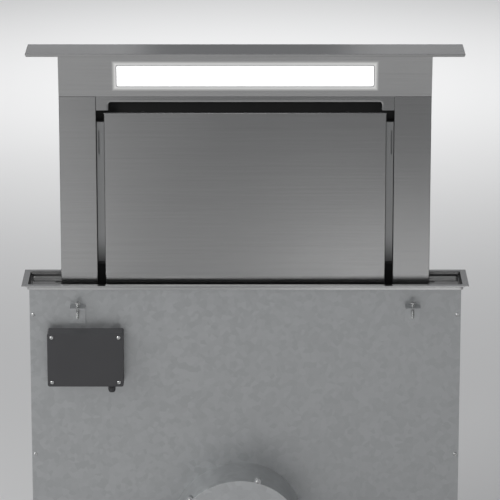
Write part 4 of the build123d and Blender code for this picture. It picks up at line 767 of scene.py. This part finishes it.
def brushed(shader, place, level):
    """Fine scratches along X, a soft drift of tone between them, and light wiping marks."""
    streak = stretched(place, (2.5, 700.0, 700.0), 3.0, 0.6)
    hair = stretched(place, (9.0, 2600.0, 2600.0), 1.0)
    wiped = even(place, 5.0, 3.0).between(0.35, 0.7)
    grain = streak * 0.55 + hair * 0.45
    feed(
        shader,
        Base_Color=grain.between(0.3, 0.7).blend(grey(level * 0.93), grey(level * 1.07, (1.0, 1.0, 0.995))),
        Roughness=0.19 + 0.06 * grain + 0.03 * wiped,
        Normal=bumped(grain, 0.00003),
    )


def brushed_sheet(name, level):
    material, shader, place = surface(name, metallic=1.0)
    brushed(shader, place, level)
    return material


def rubber(name, level):
    material, shader, place = surface(name)
    bloom = even(place, 90.0, 4.0)
    feed(
        shader,
        Base_Color=bloom.blend(grey(level * 0.85), grey(level * 1.25)),
        Roughness=0.7 + 0.12 * bloom,
        Normal=bumped(even(place, 2200.0, 1.0), 0.00003),
    )
    return material


def mitred(piece, node):
    """Draws the rim's rounded outer corners out to square ones."""
    side_x, side_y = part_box(node)[1][:2]
    form = bmesh.new()
    form.from_mesh(piece.data)
    for vert in form.verts:
        to_x = side_x - abs(vert.co.x)
        to_y = side_y - abs(vert.co.y)
        reach = math.hypot(RIM_CORNER - to_x, RIM_CORNER - to_y)
        if max(to_x, to_y) < RIM_CORNER and abs(reach - RIM_CORNER) < ARC_TOLERANCE:
            if to_x < to_y + MITRE_REACH:
                vert.co.x = math.copysign(side_x, vert.co.x)
            if to_y < to_x + MITRE_REACH:
                vert.co.y = math.copysign(side_y, vert.co.y)
    bmesh.ops.remove_doubles(form, verts=form.verts, dist=5 * WELD)
    form.to_mesh(piece.data)
    form.free()
    piece.data.set_sharp_from_angle(angle=SHARP)


steel = brushed_sheet("brushed_stainless", STEEL_LEVEL)
flange_steel = brushed_sheet("brushed_flange", 0.5)
mitred(eased("worktop_flange", flange_steel, edge=0.0006), "worktop_flange")
# The plates are the same brushed stainless at half its level: painted shade of the well beside the tower.
eased("recess_plates", brushed_sheet("brushed_recess_painted_shade", 0.2))
clothe(rubber("seal_rubber", 0.03), "flange_gasket", "cap_seal")


# ---- Clamps
# Four angles of 2 mm galvanised steel on the casing hold the flange down: a screw with a round pad
# is run up through each from below.
CLAMP_SCREW_SIDES = 24
PAD_FACE = 0.9               # as a share of the pad's radius
PAD_SHEET = 0.002
PAD_EDGE = 0.0004
ROOT_RADIUS = 0.0024
THREAD_RADIUS = 0.003
THREAD_PITCH = 0.001
THREAD_DEPTH = 0.0006
THREAD_STEPS = 16
THREAD_START = 0.0026
THREAD_RUNOUT = 0.0012


def threaded(form, radius, place, direction, start, length):
    """Thread wound round an axis: a root line and a crest line, joined turn by turn."""
    axis = Vector(direction)
    across = axis.orthogonal().normalized()
    up = axis.cross(across)
    count = int(THREAD_STEPS * length / THREAD_PITCH)
    roots, crests = [], []
    for step in range(count + 1):
        angle = 2 * math.pi * step / THREAD_STEPS
        spoke = across * math.cos(angle) + up * math.sin(angle)
        height = start + step * THREAD_PITCH / THREAD_STEPS
        roots.append(form.verts.new(Vector(place) + axis * height + spoke * (radius - THREAD_DEPTH)))
        crests.append(form.verts.new(Vector(place) + axis * (height + THREAD_PITCH / 2) + spoke * radius))
    for step in range(count):
        form.faces.new((roots[step], roots[step + 1], crests[step + 1], crests[step]))
        if step + 1 + THREAD_STEPS <= count:
            beyond = step + THREAD_STEPS
            form.faces.new((crests[step], crests[step + 1], roots[beyond + 1], roots[beyond]))


eased("worktop_clamps", galvanised("galvanised_clamp", 0.5, crystals=140.0), edge=0.0004)
clamp_thread = bmesh.new()
for low, high, _ in islands("clamp_screws"):
    top = ((low[0] + high[0]) / 2, (low[1] + high[1]) / 2, high[2])
    length = high[2] - low[2]
    pad = (high[0] - low[0]) / 2
    spun(clamp_thread, [
        (pad * PAD_FACE, 0.0),
        (pad, PAD_EDGE),
        (pad, PAD_SHEET - PAD_EDGE),
        (pad * PAD_FACE, PAD_SHEET),
        (ROOT_RADIUS, PAD_SHEET),
        (ROOT_RADIUS, length - THREAD_DEPTH),
        (ROOT_RADIUS - THREAD_DEPTH, length),
    ], top, (0, 0, -1), round_angles(CLAMP_SCREW_SIDES))
    reach = length - THREAD_START - THREAD_RUNOUT
    threaded(clamp_thread, THREAD_RADIUS, top, (0, 0, -1), THREAD_START, reach)
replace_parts(finished("clamp_threads", clamp_thread, screw_zinc, "casing"), "clamp_screws")


# ---- Carriage
# Two 3 mm plates under the columns, joined by a folded beam, carry acetal shoes that run in the
# guide rails, the shaft's bearings and the gearmotor whose worm turns the shaft.
GEARBOX_HEIGHT = 0.052
GEARBOX_DEPTH = 0.042
GEARBOX_SCREW_INSET = 0.007
carriage_zinc = galvanised("galvanised_plate", 0.5, crystals=120.0)
eased("carriage_plate_left", carriage_zinc, edge=0.0005)
eased("carriage_plate_right", carriage_zinc, edge=0.0005)
eased("carriage_beam", carriage_zinc, edge=0.0004)
eased("guide_shoes", white_acetal, edge=0.0006)
eased("shaft_bearings", white_acetal, edge=0.0005)
eased("lift_gearmotor", motor_black, edge=0.0008)
driven_screws("carriage_pan_screws", "tower_screws", "tower")

gear_low, gear_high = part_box("lift_gearmotor")
gearbox_back = gear_low[1] + GEARBOX_DEPTH
gear_screws = bmesh.new()
for x in (gear_low[0] + GEARBOX_SCREW_INSET, gear_high[0] - GEARBOX_SCREW_INSET):
    for z in (gear_low[2] + GEARBOX_SCREW_INSET, gear_low[2] + GEARBOX_HEIGHT - GEARBOX_SCREW_INSET):
        pan_screw(gear_screws, (x, gearbox_back, z), (0, -1, 0))
finished("gearbox_screws", gear_screws, screw_zinc, "tower")


# ---- Synchronising shaft
# A ground steel rod runs across the carriage and keeps the tower level. A pinion moulded in acetal
# is pressed on near each end and rolls on its rack.
clothe(bright_zinc("ground_rod", 0.58), "sync_shaft")
clothe(white_acetal, "drive_pinions")


# ---- Columns and back
# The tower's corners and back are 1.2 mm stainless sheet, folded, and brushed from side to side as
# the rest of the tower is.
for name in ("column_left", "column_right", "tower_back"):
    eased(name, steel)


# ---- Intake frame
# Black powder-coated sheet between the columns, with a window for each filter, the rail under the
# front panel and the keeper that the filters' latches spring into.
def powder_black(name, level):
    material, shader, place = surface(name, Specular_IOR_Level=0.25)
    peel = even(place, 1100.0)
    feed(
        shader,
        Base_Color=even(place, 22.0).blend(grey(level * 0.85), grey(level * 1.2)),
        Roughness=0.62 + 0.1 * peel,
        Normal=bumped(peel, 0.00006),
    )
    return material


# The coat's near-black level is partly the frame's own black and partly painted shade, so that the slot
# above the filters reads dark.
eased("intake_frame", powder_black("powder_coat", 0.012))


# ---- Grease filters
# Each filter is a folded aluminium frame round corrugated layers of slit and stretched aluminium,
# with a slotted hole to pull it by. A sprung latch on two rivets holds it under the keeper.
STRAND_STEP = 0.004
STRAND = 0.0006
CORRUGATION = 0.012          # pitch of its folds
PAINTED_SHADE_FOOT = 0.02           # heights over which the painted shade on the frame fades out
PAINTED_SHADE_TOP = 0.1
ALUMINIUM_TINT = (0.99, 1.0, 1.0)


def mill_aluminium(name, level):
    material, shader, place = surface(name, metallic=1.0)
    rolled = stretched(place, (420.0, 420.0, 5.0), 2.0)
    feed(
        shader,
        Base_Color=rolled.blend(grey(level * 0.93, ALUMINIUM_TINT), grey(level * 1.05, ALUMINIUM_TINT)),
        Roughness=0.34 + 0.1 * rolled,
        Normal=bumped(rolled, 0.00005),
    )
    return material


def aluminium_with_painted_shade(name, level):
    """Rolled aluminium darkened towards its foot by painted shade."""
    material, shader, place = surface(name, metallic=1.0)
    rolled = stretched(place, (420.0, 420.0, 5.0), 2.0)
    # painted shade: the frame's colour goes dark below this band of heights
    unshaded = place.part(2).between(PAINTED_SHADE_FOOT, PAINTED_SHADE_TOP)
    bright = rolled.blend(grey(level * 0.93, ALUMINIUM_TINT), grey(level * 1.05, ALUMINIUM_TINT))
    feed(
        shader,
        Base_Color=unshaded.blend(grey(level * 0.06), bright),
        Roughness=0.34 + 0.1 * rolled,
        Normal=bumped(rolled, 0.00003),
    )
    return material


# The filter frames carry painted shade that darkens them towards their foot.
filter_aluminium = aluminium_with_painted_shade("filter_aluminium", 0.34)
mesh_aluminium = mill_aluminium("mesh_aluminium", 0.4)


def stretched_mesh(form, low, high, flip):
    """Diamond lattice over a corrugated sheet, in x and z, folded between the low and the high y."""
    across = 2 * round((high[0] - low[0]) / CORRUGATION)
    rows = 2 * round((high[2] - low[2]) / STRAND_STEP / 2)
    knots = {}

    def knot(column, row):
        if (column, row) not in knots:
            x = low[0] + (high[0] - low[0]) * column / across
            z = low[2] + (high[2] - low[2]) * row / rows
            knots[column, row] = form.verts.new((x, (low[1], high[1])[(column + flip) % 2], z))
        return knots[column, row]

    for column in range(1, across):
        for row in range(1, rows):
            if (column + row) % 2:
                corners = ((column - 1, row), (column, row - 1), (column + 1, row), (column, row + 1))
                form.faces.new([knot(*corner) for corner in corners])


for side in ("left", "right"):
    eased(f"filter_frame_{side}", filter_aluminium, edge=0.0002)
    low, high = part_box(f"filter_mesh_{side}")
    inner_low = (low[0] + STRAND, low[1] + STRAND, low[2] + STRAND)
    inner_high = (high[0] - STRAND, high[1] - STRAND, high[2] - STRAND)
    lattice = bmesh.new()
    for flip in (0, 1):
        stretched_mesh(lattice, inner_low, inner_high, flip)
    piece = finished(f"stretched_mesh_{side}", lattice, mesh_aluminium, "tower")
    strands = piece.modifiers.new("strands", "WIREFRAME")
    strands.thickness = STRAND
    strands.use_boundary = True
    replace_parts(piece, f"filter_mesh_{side}")
latch_steel = bright_zinc("latch_steel", 0.55)
clothe(latch_steel, "filter_latch_left", "filter_latch_right", "latch_rivets")


# ---- Clips and studs of the front panel
# Four slit cups of black plastic on the intake frame take the steel balls that stand behind the
# front panel, and give way when it is pulled.
clothe(switch_black, "panel_clips")
clothe(bright_zinc("stud_steel", 0.6), "panel_studs")


# ---- Light panel
# A stainless sheet under the cap that leans forward, with the slot's surround welded under it. Its
# long window holds the light; a faint glow round the window is painted on the sheet as emission.
GLOW_REACH = 0.009
GLOW = 0.4


def lit_sheet():
    """Brushed sheet with a glow round the lens painted on it as emission."""
    material, shader, place = surface("brushed_stainless_lit", metallic=1.0)
    brushed(shader, place, STEEL_LEVEL)
    trim_low, trim_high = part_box("light_trim")
    middle_z = (trim_high[2] + trim_low[2]) / 2
    past_x = abs(place.part(0)) - (trim_high[0] - trim_low[0]) / 2
    past_z = abs(place.part(2) - middle_z) - (trim_high[2] - trim_low[2]) / 2
    past = past_x.math("MAXIMUM", past_x, past_z)
    # painted glow: the sheet itself emits light near the trim
    near = (past * -1.0).between(-GLOW_REACH, 0.0)
    feed(shader, Emission_Color=near.blend((0.0, 0.0, 0.0, 1.0), (1.0, 1.0, 0.98, 1.0)))
    shader.inputs["Emission Strength"].default_value = GLOW
    return material


eased("light_panel", lit_sheet())


# ---- Light
# An opal lens in a thin aluminium trim, lit by a board of white diodes in a galvanised box behind
# it. The driver is fixed to the tower's back.
LENS_LIGHT = 1.6
BOARD_WAY = (0.0, -0.983, -0.184)    # the way that the leaning board faces
DIODE_REACH = 0.0055         # the diodes are this near its box's front corner, its sheet isn't


def opal_lens():
    material, shader, place = surface("opal_lens", Roughness=0.4)
    cloud = even(place, 60.0)
    feed(shader, Base_Color=cloud.blend(grey(0.9), grey(0.94)))
    shader.inputs["Emission Color"].default_value = (1.0, 1.0, 0.985, 1.0)
    shader.inputs["Emission Strength"].default_value = LENS_LIGHT
    return material


def diode_board():
    """White board whose raised diodes are yellow where the phosphor shows."""
    material, shader, place = surface("diode_board")
    low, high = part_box("led_board")
    sockets = {0: place, 1: BOARD_WAY}
    forward = place.node("ShaderNodeVectorMath", {"operation": "DOT_PRODUCT"}, sockets, out=1)
    corner = BOARD_WAY[1] * low[1] + BOARD_WAY[2] * high[2]
    chip = forward > corner - DIODE_REACH
    feed(
        shader,
        Base_Color=chip.blend((0.8, 0.8, 0.78, 1.0), (0.85, 0.68, 0.16, 1.0)),
        Roughness=0.35 + 0.1 * even(place, 400.0),
    )
    return material


clothe(opal_lens(), "light_diffuser")
clothe(mill_aluminium("trim_aluminium", 0.62), "light_trim")
eased("light_box", sheet_zinc, edge=0.0002)
clothe(diode_board(), "led_board")
eased("led_driver", switch_black, edge=0.0004)


# ---- Cap
# A shallow stainless pan, brushed along its length, with a bevelled lower edge. It closes the
# flange when the tower is down.
eased("top_cap", steel, edge=0.0004)


# ---- Front panel
# Stainless sheet with its edges folded back, brushed from side to side. It hangs on its four ball
# studs and pulls straight off, so that the filters can be reached.
eased("front_panel", steel)
